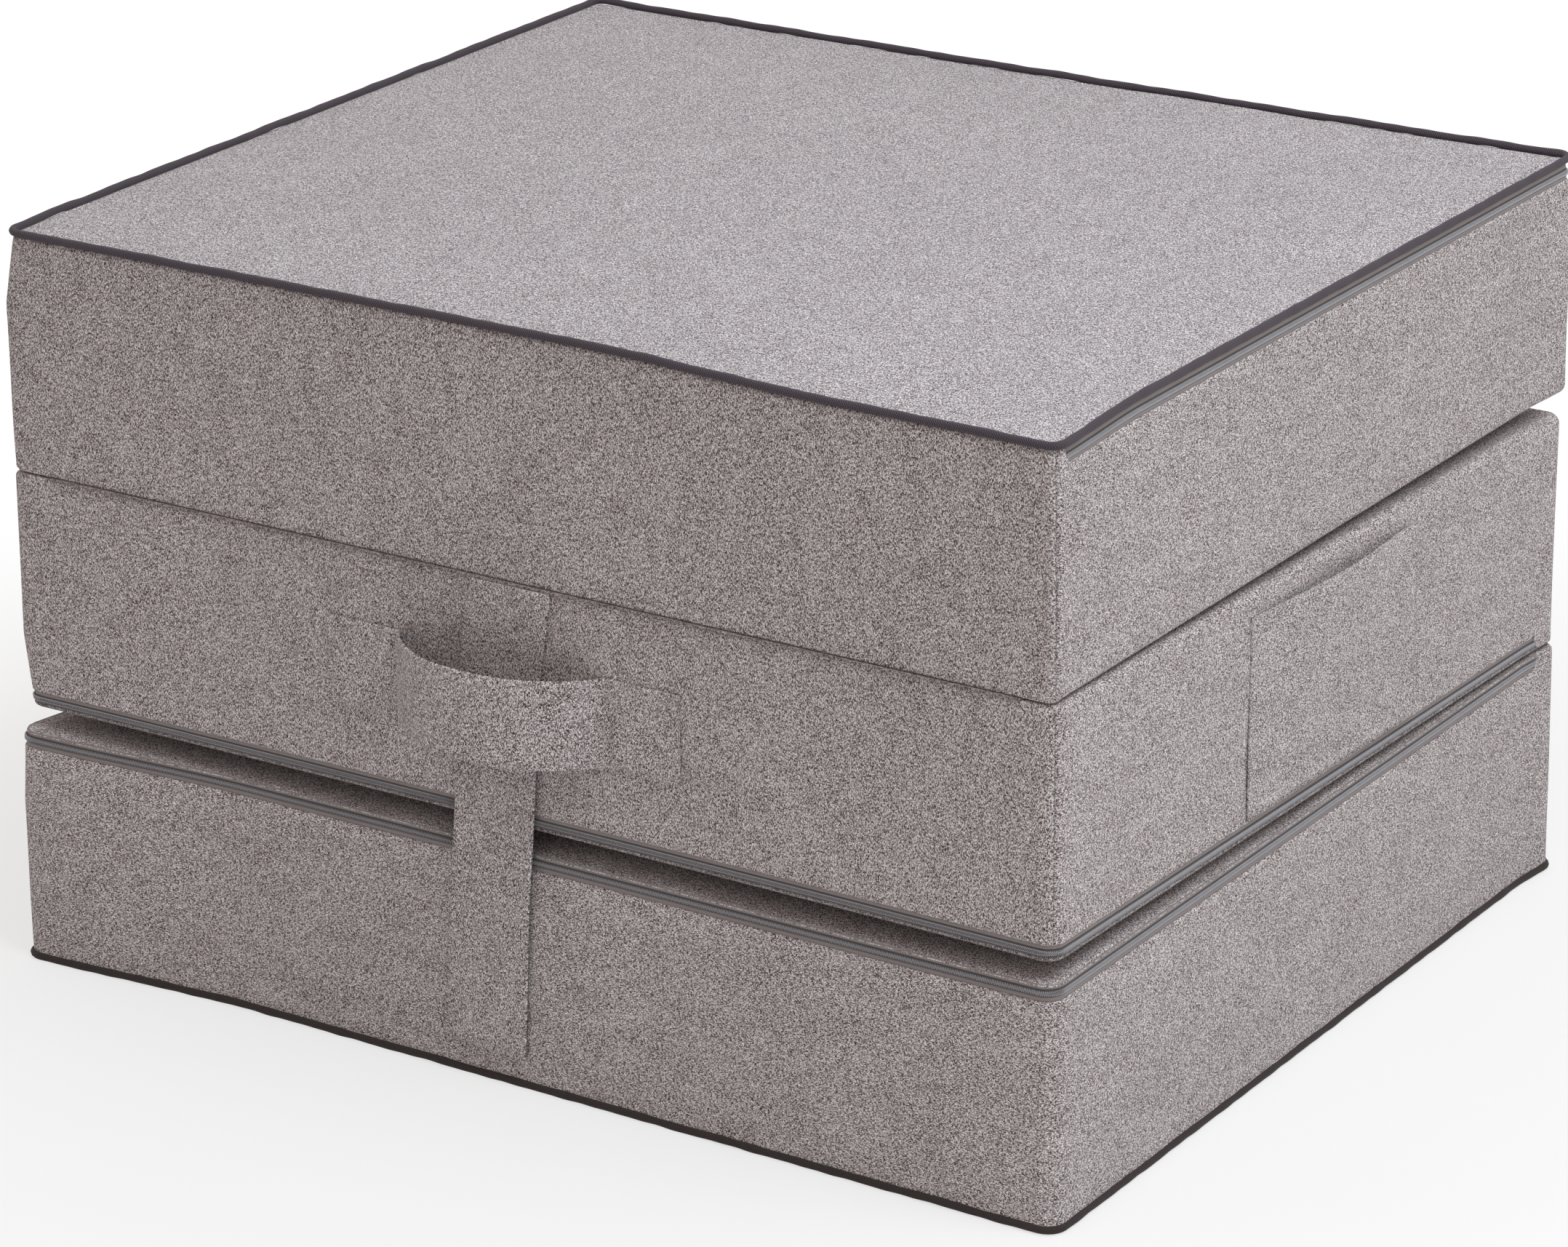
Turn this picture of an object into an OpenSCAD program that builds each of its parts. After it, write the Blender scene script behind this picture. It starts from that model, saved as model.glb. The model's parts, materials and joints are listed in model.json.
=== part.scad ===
// Folding chair bed: three upholstered foam blocks, folded in a zigzag into a seat.
// The front, with the carry handle, faces -Y. +Z is up and z = 0 is the floor.

/* [Blocks] */
// Length of each block, along the face with the handle
block_l = 800; // [600:10:1000]
// Depth of each block, from the face with the handle to the back
block_w = 667; // [500:1:800]
// Height of each block at its edges
block_t = 165; // [120:1:220]
// Radius of a block's upright corners
corner_r = 24; // [16:1:40]
// Rise of the top block's crown above its edges
top_crown = 9; // [2:0.5:16]
// Rise of the crowns on the two faces that close on each other
inner_crown = 4; // [1:0.5:5]
// How far a long side pulls in at its middle, at the edge with the zip
edge_pull = 3; // [0:0.5:4]
// How far a short side pulls in at its middle, at half height
waist_pull = 1.5; // [0:0.5:3]

/* [Folding] */
// Opening between the middle and bottom blocks at the front
front_gap = 17; // [10:1:30]
// Opening between the middle and bottom blocks at their hinge
back_gap = 4; // [2:0.5:8]
// Opening between the top and middle blocks at their hinge
seam_gap = 1.2; // [1:0.1:3]
// Distance from a hinge line to the walls of the two blocks it joins
fold_clear = 1.6; // [1.5:0.1:3]
// Radius of the sewn bead on a hinge line
bead_r = 1.1; // [0.6:0.1:1.2]
// Width of the sewn allowance behind a bead
allowance_w = 14; // [8:1:24]
// Thickness of the sewn allowance
allowance_t = 0.35; // [0.3:0.05:0.5]

/* [Covers] */
// Thickness of a cover's walls with their lining
wall_t = 6; // [5:0.5:9]
// Thickness of a cover's flat faces with their lining
face_t = 3; // [2:0.5:5]
// Space between a cover and its foam
foam_clear = 0.3; // [0.2:0.1:1]
// Radius of an open edge where two blocks lie on each other
soft_edge_r = 11; // [6:0.5:14]
// Radius of an edge that is sewn to the next block
seam_edge_r = 3; // [2:0.5:5]
// Radius of an edge beside a bare zip
zip_edge_r = 2; // [1.5:0.5:3]
// Radius of the top block's upper edge, which carries piping
piped_edge_r = 3.5; // [3:0.5:6]
// Radius of the bottom block's foot edge, which carries piping
foot_edge_r = 7; // [5:0.5:9]
// Inset of the base panel from the bottom block's sides
base_inset = 16; // [12:1:30]

/* [Piping] */
// How far round the top block's edge its piping sits, up from level
piping_angle = 60; // [50:1:70]
// Diameter of the piping cord
piping_d = 5.6; // [4:0.2:8]
// Space between two sewn pieces
sewn_clear = 0.15; // [0.1:0.05:0.3]

/* [Zips] */
// Height of the top block's open zip band
top_band_h = 9.4; // [9.2:0.2:14]
// Distance from the top block's upper face to its zip band
top_band_drop = 4.2; // [4:0.2:10]
// Height of the zip band on the middle and bottom blocks
inner_band_h = 9.4; // [9.2:0.2:14]
// Distance from the zipped face of those blocks to the zip band
inner_band_drop = 2.4; // [2.4:0.2:6]
// Space between a slider and the lip of the zip-off face
lip_clear = 0.5; // [0.3:0.1:0.8]
// Distance from a sewn side to the ends of a block's zip
zip_end = 30; // [26:1:80]
// Depth of the tape below the cover's surface
tape_depth = 1; // [0.5:0.1:1.5]
// Thickness of the zip tape
tape_t = 1.1; // [0.8:0.1:1.5]
// Width of one row of coil
coil_w = 2.5; // [2:0.1:3]
// Height of the coil above its tape
coil_t = 1.6; // [1.2:0.1:2]
// Slit between the two rows of coil
slit_w = 1.1; // [0.9:0.1:1.4]

/* [Zip slider] */
// Length of the slider
slider_l = 11; // [8:0.5:14]
// Width of the slider across the coil
slider_w = 7.6; // [7.4:0.1:8.4]
// Width of the slider at its narrow end
slider_nose_w = 6.8; // [6.6:0.1:7.2]
// Thickness of each of the slider's two plates
plate_t = 1; // [0.8:0.1:1.2]
// Running space between the slider and the zip
run_clear = 0.3; // [0.2:0.05:0.4]
// Thickness of the web that joins the two plates
web_t = 0.6; // [0.4:0.05:0.8]
// Length of that web
web_l = 2.6; // [2:0.1:4]
// Radius of the bar that carries the pull
bar_r = 0.65; // [0.5:0.05:0.8]
// Length of the bar between its two posts
bar_l = 5.2; // [4:0.1:7]
// Length of each post along the zip
post_l = 1.3; // [1:0.1:2]
// Radial space between the bar and the pull's eye
eye_clear = 0.05; // [0.03:0.01:0.1]
// Wall of the pull's eye round the bar
eye_wall = 0.75; // [0.6:0.05:1]
// Reach of the pull below the bar
pull_l = 15.5; // [12:0.5:16]
// Width of the pull
pull_w = 6.4; // [5:0.1:8]
// Thickness of the pull
pull_t = 1.2; // [1:0.1:1.3]
// Radius of the hole near the pull's end
pull_hole_r = 1.3; // [0.8:0.1:2]

/* [Handle] */
// Width of the handle, a doubled strip of the cover's cloth
handle_w = 60; // [40:1:80]
// Thickness of the doubled cloth of the handle and straps
strap_t = 2.4; // [1.6:0.1:3]
// Length of the flat patch sewn down at each end
handle_patch_l = 56; // [30:1:90]
// Distance between the two patches
handle_span = 163; // [100:1:220]
// Distance that the loop stands off the block
handle_rise = 38; // [20:1:60]
// Sideways place of the handle's middle
handle_x = -8; // [-60:1:60]
// Height of the handle's middle above the middle of its block
handle_up = 5; // [-20:1:20]

/* [Closing strap] */
// Width of the closing strap
strap_w = 62; // [40:1:80]
// Sideways place of the strap where it is sewn in
strap_x = -1.5; // [-60:0.5:60]
// Lean of the strap from the upright, in degrees
strap_lean = 4.4; // [0:0.1:6]
// Drop from the middle block's lower face to the line where the strap bends
strap_bend_drop = 7; // [7:0.5:8]
// Height of the strap's free end above the floor
strap_end_z = 22; // [15:1:60]
// Height over which the strap swings out to the patches
strap_ease_h = 34; // [25:1:60]
// Height of the hook patch
hook_h = 56; // [30:1:80]
// Thickness of each of the two fastening patches
patch_t = 1.2; // [0.8:0.1:1.6]
// Height of the lower strap above the bottom piping
lower_strap_h = 92; // [70:1:110]
// Border between a strap's edge and its patch
patch_border = 4; // [2:0.5:8]

/* [Side pocket] */
// Width of the side pocket
pocket_w = 222; // [120:1:300]
// Distance that the pocket's middle lies behind the block's middle
pocket_y = 10; // [-60:1:60]
// Distance from the middle block's upper face to the pocket's mouth
pocket_drop = 16; // [12:1:40]
// Thickness of the pocket's cloth with its hem
pocket_t = 1.4; // [1:0.1:2]
// How far the mouth stands open at its middle
pocket_gape = 6; // [5:0.5:12]

/* [Hidden] */
$fn = 48;

cloth_light = "#a8a3a5";
cloth_dark = "#8d8886";
strap_grey = "#9a9593";
tape_grey = "#8b888b";
coil_grey = "#a9acb2";
charcoal = "#3e363b";
near_black = "#2a2527";
foam_cream = "#efe6c8";
metal_grey = "#b4b6ba";

half_l = block_l / 2;
half_w = block_w / 2;
// Reach of a cutting solid past what it cuts
overrun = 1;
// Space between soft pieces on different blocks
soft_clear = 0.3;

// Steps round an upright corner, along the four sides, up an edge and up a wall
corner_steps = 5;
side_steps = [8, 6, 8, 6];
edge_steps = 3;
wall_steps = 4;
// Where the rings of a crowned face lie, as shares of its outline
crown_ring_shares = [0.93, 0.8, 0.58, 0.3];
// Power that sets how flat a crown's middle is
crown_power_share = 3;

// Hinge line at the back, between the bottom and middle blocks
back_axis = [0, half_w + fold_clear, block_t + back_gap / 2];
// Angle by which each pair of blocks stands open at rest
wedge = asin((front_gap - back_gap) / (block_w + fold_clear));
// Hinge line at the front, between the middle and top blocks
front_axis = back_axis + lean_back([
    0, -block_w - 2 * fold_clear, (back_gap + seam_gap) / 2 + block_t]);
echo(back_axis = back_axis, front_axis = front_axis, wedge = wedge);

function lean_back(p) = [
    p.x,
    p.y * cos(wedge) + p.z * sin(wedge),
    p.z * cos(wedge) - p.y * sin(wedge)];

// Frame of the bottom block's parts: zipped face up, sewn side to the back
module in_bottom() {
    rotate([0, 0, 180]) children();
}

// Frame of what hangs on the middle block: its lower face is z = 0, its front is -Y
module in_middle() {
    translate(back_axis) rotate([-wedge, 0, 0])
        translate([0, -fold_clear - half_w, back_gap / 2]) children();
}

// Frame of the middle block's own parts: zipped face down, sewn side to the back
module in_middle_turned() {
    in_middle() translate([0, 0, block_t]) rotate([180, 0, 0]) children();
}

// Frame of the top block's parts: zipped face up, sewn side to the front
module in_top() {
    translate(front_axis + [0, fold_clear + half_w, seam_gap / 2]) children();
}

// A place on the left wall of a block, where +X points out of the wall
module on_left(y, z) {
    translate([-half_l, y, z]) mirror([1, 0, 0]) children();
}

// Outline of a block seen from above, anticlockwise from its +X +Y corner.
// An entry is [x, y, heading, bow]: heading is the way the wall faces there, and
// bow is 0 at the corners and 1 at the middle of a side.
function corner_centre(q) = [
    [half_l - corner_r, half_w - corner_r], [corner_r - half_l, half_w - corner_r],
    [corner_r - half_l, corner_r - half_w], [half_l - corner_r, corner_r - half_w]][q % 4];

function corner_point(q, f) =
    let (h = 90 * (q + f), c = corner_centre(q))
    [c.x + corner_r * cos(h), c.y + corner_r * sin(h), h, 0];

function side_point(q, f) =
    let (a = corner_point(q, 1), b = corner_point(q + 1, 0))
    [a.x + (b.x - a.x) * f, a.y + (b.y - a.y) * f, a[2], 4 * f * (1 - f)];

function outline() = [
    for (q = [0:3]) each concat(
        [for (i = [0:corner_steps]) corner_point(q, i / corner_steps)],
        [for (i = [1:side_steps[q] - 1]) side_point(q, i / side_steps[q])])];

// The outline's stretch with the zip: right side, back, left side
function zip_path() =
    let (f = (zip_end - corner_r) / (block_w - 2 * corner_r), n = side_steps[3])
    concat(
        [for (i = [0:n - 1]) side_point(3, f + (1 - f) * i / n)],
        [for (i = [0:corner_steps]) corner_point(0, i / corner_steps)],
        [for (i = [1:side_steps[0] - 1]) side_point(0, i / side_steps[0])],
        [for (i = [0:corner_steps]) corner_point(1, i / corner_steps)],
        [for (i = [1:n]) side_point(1, (1 - f) * i / n)]);

// A value given for the four sides [+X, +Y, -X, -Y], blended round the corners
function by_side(values, heading) =
    let (q = floor(heading / 90), f = heading / 90 - q)
    values[q % 4] * (1 - f) + values[(q + 1) % 4] * f;

// How far a wall pulls in at its middle. pulls holds the value at the foot edge,
// the extra value at half height and the value at the lid edge, for the four sides.
function pull_at(pulls, heading, h) =
    by_side(pulls[0], heading) * (1 - h) + by_side(pulls[2], heading) * h
    + by_side(pulls[1], heading) * pow(4 * h * (1 - h), 2);

// A point of the wall at an outline entry, moved in by inset
function wall_point(o, inset, z, pulls) =
    let (d = inset + o[3] * pull_at(pulls, o[2], z / block_t))
    [o.x - d * cos(o[2]), o.y - d * sin(o[2]), z];

function crown_z(x, y, crown) =
    block_t + crown * (1 - pow(abs(x) / half_l, crown_power_share))
    * (1 - pow(abs(y) / half_w, crown_power_share));

// Rings of a block from its flat foot face to its crowned lid face
function block_rings(foot_r, lid_r, pulls, crown, band_z) = let (path = outline()) concat(
    [for (i = [0:edge_steps]) let (a = 90 * i / edge_steps) [for (o = path)
        let (r = by_side(foot_r, o[2])) wall_point(o, r * (1 - sin(a)), r * (1 - cos(a)), pulls)]],
    [for (i = [1:wall_steps]) [for (o = path)
        let (r = by_side(foot_r, o[2]))
        wall_point(o, 0, r + (band_z - r) * i / wall_steps, pulls)]],
    [for (i = [0:edge_steps]) let (a = 90 * i / edge_steps) [for (o = path)
        let (r = by_side(lid_r, o[2]))
        wall_point(o, r * (1 - cos(a)), block_t - r * (1 - sin(a)), pulls)]],
    [for (s = crown_ring_shares) [for (o = path)
        let (r = by_side(lid_r, o[2]), p = s * wall_point(o, r, block_t, pulls))
        [p.x, p.y, crown_z(p.x, p.y, crown)]]]);

// Two triangles of a quad whose corners a, b, c, d run anticlockwise seen from outside
function quad(a, b, c, d) = [[a, c, b], [a, d, c]];

// A solid skinned over rings, closed by a fan to a point at each end
module skinned(rings, bottom, top) {
    n = len(rings[0]);
    m = len(rings);
    polyhedron(
        points = concat([for (r = rings) each r], [bottom, top]),
        faces = concat(
            [for (i = [0:n - 1]) [m * n, i, (i + 1) % n]],
            [for (j = [0:m - 2]) for (i = [0:n - 1])
                each quad(j * n + i, j * n + (i + 1) % n,
                          (j + 1) * n + (i + 1) % n, (j + 1) * n + i)],
            [for (i = [0:n - 1])
                [(m - 1) * n + i, m * n + 1, (m - 1) * n + (i + 1) % n]]));
}

// A section of [out, z] points, clockwise, carried round the whole outline
module closed_sweep(section, pulls) {
    path = outline();
    n = len(path);
    m = len(section);
    polyhedron(
        points = [for (s = section) for (o = path) wall_point(o, -s[0], s[1], pulls)],
        faces = [for (j = [0:m - 1]) let (k = (j + 1) % m) for (i = [0:n - 1])
            each quad(j * n + i, k * n + i, k * n + (i + 1) % n, j * n + (i + 1) % n)]);
}

// The same section carried along the zip's stretch, with flat ends
module open_sweep(section, pulls) {
    path = zip_path();
    n = len(path);
    m = len(section);
    polyhedron(
        points = [for (s = section) for (o = path) wall_point(o, -s[0], s[1], pulls)],
        faces = concat(
            [for (j = [0:m - 1]) let (k = (j + 1) % m) for (i = [0:n - 2])
                each quad(j * n + i, k * n + i, k * n + i + 1, j * n + i + 1)],
            [[for (j = [0:m - 1]) j * n]],
            [[for (j = [m - 1:-1:0]) j * n + n - 1]]));
}

module rounded_rect(l, w, r) {
    square([l - 2 * r, w], center = true);
    square([l, w - 2 * r], center = true);
    for (x = [-1, 1], y = [-1, 1])
        translate([x * (l / 2 - r), y * (w / 2 - r)]) circle(r);
}

// A flat-faced slab that keeps a distance from a block's sides, from z0 to z1
module inner_slab(inset, z0, z1) {
    translate([0, 0, z0]) linear_extrude(z1 - z0)
        rounded_rect(block_l - 2 * inset, block_w - 2 * inset, corner_r - inset / 2);
}

// Everything from z0 to z1, over the whole block
module layer(z0, z1) {
    translate([-block_l, -block_w, z0]) cube([2 * block_l, 2 * block_w, z1 - z0]);
}

// The piece of a layer by the sewn side, which no zip cuts
module sewn_side_layer(z0, z1) {
    translate([-block_l, -block_w, z0])
        cube([2 * block_l, half_w + zip_end, z1 - z0]);
}

module cover_shell(form) {
    difference() {
        skinned(block_rings(form[0], form[1], form[2], form[3], block_t - form[4] - form[5] / 2),
            [0, 0, 0], [0, 0, block_t + form[3]]);
        inner_slab(wall_t, face_t, block_t - face_t);
    }
}

// Walls and foot face of a cover, open above the zip band
module cover_body(form) {
    band_top = block_t - form[4];
    difference() {
        cover_shell(form);
        difference() {
            layer(band_top - form[5], block_t + form[3] + overrun);
            sewn_side_layer(band_top - form[5] - overrun, band_top);
        }
    }
}

// Zip-off face of a cover, with the narrow lip above the zip band
module cover_lid(form) {
    difference() {
        cover_shell(form);
        layer(-overrun, block_t - form[4]);
    }
}

module foam_core() {
    color(foam_cream)
        inner_slab(wall_t + foam_clear, face_t + foam_clear, block_t - face_t - foam_clear);
}

// Distance from the upper edge of a zip band to the slit, which lies near the lip
slit_drop = slider_w / 2 + lip_clear;

// One half of a zip's tape: side is -1 below the slit and 1 above it
module zip_tape(form, side) {
    middle = block_t - form[4] - slit_drop;
    near = middle + side * slit_w / 2;
    reach = side > 0 ? slit_drop : form[5] - slit_drop;
    far = middle + side * (reach - sewn_clear);
    low = min(near, far);
    high = max(near, far);
    out = -tape_depth;
    color(tape_grey)
        open_sweep([[out, low], [out - tape_t, low], [out - tape_t, high], [out, high]], form[2]);
}

// One row of a zip's coil, half round, on the outside of its tape
module zip_coil(form, side) {
    middle = block_t - form[4] - slit_drop;
    near = middle + side * slit_w / 2;
    far = near + side * coil_w;
    low = min(near, far);
    high = max(near, far);
    base = -tape_depth;
    bevel = coil_t / 2;
    color(coil_grey)
        open_sweep([
            [base, low], [base, high], [base + bevel, high],
            [base + coil_t, high - bevel], [base + coil_t, low + bevel],
            [base + bevel, low]], form[2]);
}

// A piping cord whose centre lies at [out, z] from the outline
module piping(out, z, pulls) {
    r = piping_d / 2;
    sides = 8;
    closed_sweep([for (i = [0:sides - 1]) let (a = -360 * (i + 0.5) / sides)
        [out + r * cos(a), z + r * sin(a)]], pulls);
}

// Forms of the three blocks, each [foot edge radii, lid edge radii, pulls, crown,
// drop to the zip band, height of the zip band], with the sewn side last
top_form = [
    [soft_edge_r, soft_edge_r, soft_edge_r, seam_edge_r],
    [piped_edge_r, piped_edge_r, piped_edge_r, piped_edge_r],
    [[0, edge_pull, 0, 0], [waist_pull, 0, waist_pull, 0], [0, edge_pull, 0, edge_pull]],
    top_crown, top_band_drop, top_band_h];
middle_form = [
    [soft_edge_r, seam_edge_r, soft_edge_r, soft_edge_r],
    [zip_edge_r, zip_edge_r, zip_edge_r, seam_edge_r],
    [[0, 0, 0, edge_pull], [waist_pull, 0, waist_pull, 0], [0, edge_pull, 0, 0]],
    inner_crown, inner_band_drop, inner_band_h];
bottom_form = [
    [foot_edge_r, foot_edge_r, foot_edge_r, foot_edge_r],
    [zip_edge_r, zip_edge_r, zip_edge_r, seam_edge_r],
    [[0, edge_pull, 0, edge_pull], [waist_pull, 0, waist_pull, 0], [0, edge_pull, 0, 0]],
    inner_crown, inner_band_drop, inner_band_h];

// The top piping sits on the rounded edge, and the bottom piping just clears the floor
piping_room = piping_d / 2 + sewn_clear;
top_piping_out = (piped_edge_r + piping_room) * cos(piping_angle) - piped_edge_r;
top_piping_z = block_t - piped_edge_r + (piped_edge_r + piping_room) * sin(piping_angle);
bottom_piping_z = piping_room;
bottom_piping_out = sqrt(pow(foot_edge_r + piping_room, 2) - pow(foot_edge_r - bottom_piping_z, 2))
    - foot_edge_r;

module bottom_foam() {
    in_bottom() foam_core();
}

module bottom_cover_body() {
    color(cloth_dark) in_bottom() difference() {
        cover_body(bottom_form);
        inner_slab(base_inset, -overrun, face_t + overrun);
    }
}

module bottom_cover_lid() {
    color(cloth_light) in_bottom() cover_lid(bottom_form);
}

module bottom_base_panel() {
    color(near_black) in_bottom() inner_slab(base_inset + sewn_clear, 0, face_t);
}

module bottom_piping() {
    color(near_black) in_bottom()
        piping(bottom_piping_out, bottom_piping_z, bottom_form[2]);
}

module middle_foam() {
    in_middle_turned() foam_core();
}

module middle_cover_body() {
    color(cloth_dark) in_middle_turned() cover_body(middle_form);
}

module middle_cover_lid() {
    color(cloth_light) in_middle_turned() cover_lid(middle_form);
}

module top_foam() {
    in_top() foam_core();
}

module top_cover_body() {
    color(cloth_dark) in_top() cover_body(top_form);
}

module top_cover_lid() {
    color(cloth_light) in_top() cover_lid(top_form);
}

module top_piping() {
    color(charcoal) in_top() piping(top_piping_out, top_piping_z, top_form[2]);
}

// The sewn strip on a hinge line: a bead, and the allowance that lies on the block.
// The line is the X axis here, the block lies to +Y and its face at -gap / 2, and
// rise is how much the block's crown lifts the strip's far edge.
module seam_strip(gap, rise) {
    strip_l = block_l - 2 * corner_r;
    low = sewn_clear - gap / 2;
    high = low + allowance_t;
    near = fold_clear + seam_edge_r;
    far = fold_clear + allowance_w;
    color(cloth_dark) translate([-strip_l / 2, 0, 0]) {
        rotate([0, 90, 0]) cylinder(r = bead_r, h = strip_l);
        rotate([90, 0, 90]) linear_extrude(strip_l) polygon([
            [-allowance_t, 0], [-allowance_t, low], [near, low], [far, low + rise],
            [far, high + rise], [near, high], [allowance_t, high], [allowance_t, 0]]);
    }
}

module front_seam_strip() {
    translate(front_axis) rotate([-wedge, 0, 0]) seam_strip(seam_gap, 0);
}

module back_seam_strip() {
    rise = crown_z(0, half_w - allowance_w, inner_crown) - block_t;
    translate(back_axis) rotate([0, 0, 180]) seam_strip(back_gap, rise);
}

// Shield shape of the slider's plates: narrow towards -Y
module slider_outline() {
    shoulder = slider_l / 2;
    intersection() {
        polygon([
            [-shoulder, -slider_nose_w / 2], [shoulder - slider_w / 2, -slider_w / 2],
            [shoulder, -slider_w / 2], [shoulder, slider_w / 2],
            [shoulder - slider_w / 2, slider_w / 2], [-shoulder, slider_nose_w / 2]]);
        translate([-slider_l / 2, 0]) circle(slider_l);
    }
}

// Heights out of the wall, on a slider
coil_top = coil_t - tape_depth;
plate_low = coil_top + run_clear;
plate_high = plate_low + plate_t;
back_plate_high = -tape_depth - tape_t - run_clear;
bar_out = plate_high + bar_r + eye_clear + eye_wall + run_clear;

// A zip slider: two plates round the coil, joined by a web, and the bar for the pull
module zip_slider() {
    color(metal_grey) {
        for (x = [plate_low, back_plate_high - plate_t])
            translate([x, 0, 0]) rotate([90, 0, 90]) linear_extrude(plate_t) slider_outline();
        intersection() {
            rim_low = run_clear - tape_depth;
            translate([rim_low, 0, 0]) rotate([90, 0, 90])
                linear_extrude(plate_high - rim_low) slider_outline();
            for (side = [-1, 1]) translate([rim_low, -slider_l / 2,
                    side > 0 ? slit_w / 2 + coil_w + run_clear : -slider_w / 2])
                cube([plate_high - rim_low, slider_l,
                      (slider_w - slit_w) / 2 - coil_w - run_clear]);
        }
        translate([back_plate_high - plate_t, slider_l / 2 - web_l, -web_t / 2])
            cube([plate_high - back_plate_high + plate_t, web_l, web_t]);
        for (side = [-1, 1]) translate([0, side * (bar_l + post_l) / 2, 0]) bar_post();
        translate([bar_out, 0, 0]) rotate([90, 0, 0])
            cylinder(r = bar_r, h = bar_l + post_l, center = true);
    }
}

// A post that carries one end of the bar, round at its head
module bar_post() {
    translate([plate_low, -post_l / 2, -bar_r]) cube([bar_out - plate_low, post_l, 2 * bar_r]);
    translate([bar_out, 0, 0]) rotate([90, 0, 0])
        cylinder(r = bar_r, h = post_l, center = true);
}

// The pull: an eye round the bar and a tapered tongue with a hole, hanging down
module zip_pull() {
    eye_r = bar_r + eye_clear;
    eye_l = bar_l - 2 * run_clear;
    tongue_z = eye_r + eye_wall;
    end_r = pull_w / 2;
    color(metal_grey) translate([bar_out, 0, 0]) difference() {
        union() {
            rotate([90, 0, 0]) cylinder(r = tongue_z, h = eye_l, center = true);
            translate([-pull_t / 2, -eye_l / 2, -tongue_z - overrun])
                cube([pull_t, eye_l, tongue_z + overrun]);
            translate([-pull_t / 2, 0, 0]) rotate([90, 0, 90]) linear_extrude(pull_t) {
                polygon([
                    [-eye_l / 2, -tongue_z - overrun], [-end_r, end_r - pull_l],
                    [end_r, end_r - pull_l], [eye_l / 2, -tongue_z - overrun]]);
                translate([0, end_r - pull_l]) circle(end_r);
            }
        }
        rotate([90, 0, 0]) cylinder(r = eye_r, h = eye_l + overrun, center = true);
        translate([-pull_t, 0, end_r - pull_l]) rotate([0, 90, 0])
            cylinder(r = pull_hole_r, h = 2 * pull_t);
    }
}

// Places of the closed sliders: by the end of the zip at the sewn side, on the left wall
slider_y = half_w - zip_end - slider_l;
top_slider_z = block_t - top_band_drop - slit_drop;
inner_slider_z = inner_band_drop + slit_drop;
// The middle block's slider closes a little short of the bottom block's
slider_stagger = 2 * slider_l;

module at_top_slider() {
    in_top() on_left(-slider_y, top_slider_z) mirror([0, 1, 0]) children();
}

module at_middle_slider() {
    in_middle() on_left(slider_y - slider_stagger, inner_slider_z) children();
}

module at_bottom_slider() {
    on_left(slider_y, block_t - inner_slider_z) children();
}

// The handle seen from above: two flat patches and a loop that stands off the block.
// The line of the strip's inner side runs along X, and out is -Y.
handle_steps = 24;
// Power that sets how square the loop's shoulders are
handle_power_share = 2.4;
// Share of the half span over which the loop's feet ease up from the block
handle_foot_share = 0.3;
handle_l = handle_span + 2 * handle_patch_l;

function handle_out(x) =
    abs(x) >= handle_span / 2 ? 0
    : handle_rise * (1 - pow(abs(x) / (handle_span / 2), handle_power_share))
        * handle_foot(1 - abs(x) / (handle_span / 2));

// Eases the loop's feet so that they leave the block without a kink
function handle_foot(f) = let (g = min(1, f / handle_foot_share)) g * g * (3 - 2 * g);

function handle_line() = concat(
    [[-handle_l / 2, 0]],
    [for (i = [0:handle_steps]) let (x = handle_span * (i / handle_steps - 1 / 2))
        [x, -handle_out(x)]],
    [[handle_l / 2, 0]]);

// The way the line runs at point i, as a unit vector
function line_way(line, i) =
    let (d = line[min(i + 1, len(line) - 1)] - line[max(i - 1, 0)]) d / norm(d);

// A line offset to its right by d, in its own plane
function beside(line, d) = [for (i = [0:len(line) - 1])
    let (w = line_way(line, i)) line[i] + d * [w.y, -w.x]];

module carry_handle() {
    line = handle_line();
    color(strap_grey) in_middle()
        translate([handle_x, -half_w + soft_clear, (block_t - handle_w) / 2 + handle_up])
            linear_extrude(handle_w) polygon(concat(
                line, [for (i = [len(line) - 1:-1:0]) beside(line, strap_t)[i]]));
}

// Everything on the strap leans about the point where it is sewn in
module strap_frame() {
    translate([strap_x, 0, front_axis.z]) rotate([0, strap_lean, 0]) children();
}

// Section of a strap in [y, z], extruded across the strap's width less a border
module strap_section(border = 0) {
    strap_frame() translate([border - strap_w / 2, 0, -front_axis.z])
        rotate([90, 0, 90]) linear_extrude(strap_w - 2 * border) children();
}

// Planes of the strap's layers on the bottom block, counted out from its front
lower_in = edge_pull - half_w - soft_clear;
lower_out = lower_in - strap_t;
loop_out = lower_out - patch_t;
hook_in = loop_out - soft_clear;
tail_in = hook_in - patch_t;
tail_out = tail_in - strap_t;

// A point of the middle block's frame, in the part's frame
function from_middle(y, z) =
    let (p = back_axis + lean_back([0, y - fold_clear - half_w, z + back_gap / 2])) [p.y, p.z];

strap_in = -half_w - soft_clear;
// The line about which the strap's free tail turns, before and after the strap's lean
strap_axis = from_middle(strap_in - strap_t / 2, -strap_bend_drop);
strap_hang = strap_axis[1] - front_axis.z;
echo(strap_axis_place = [
    strap_x + strap_hang * sin(strap_lean), strap_axis[0],
    front_axis.z + strap_hang * cos(strap_lean)]);

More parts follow.
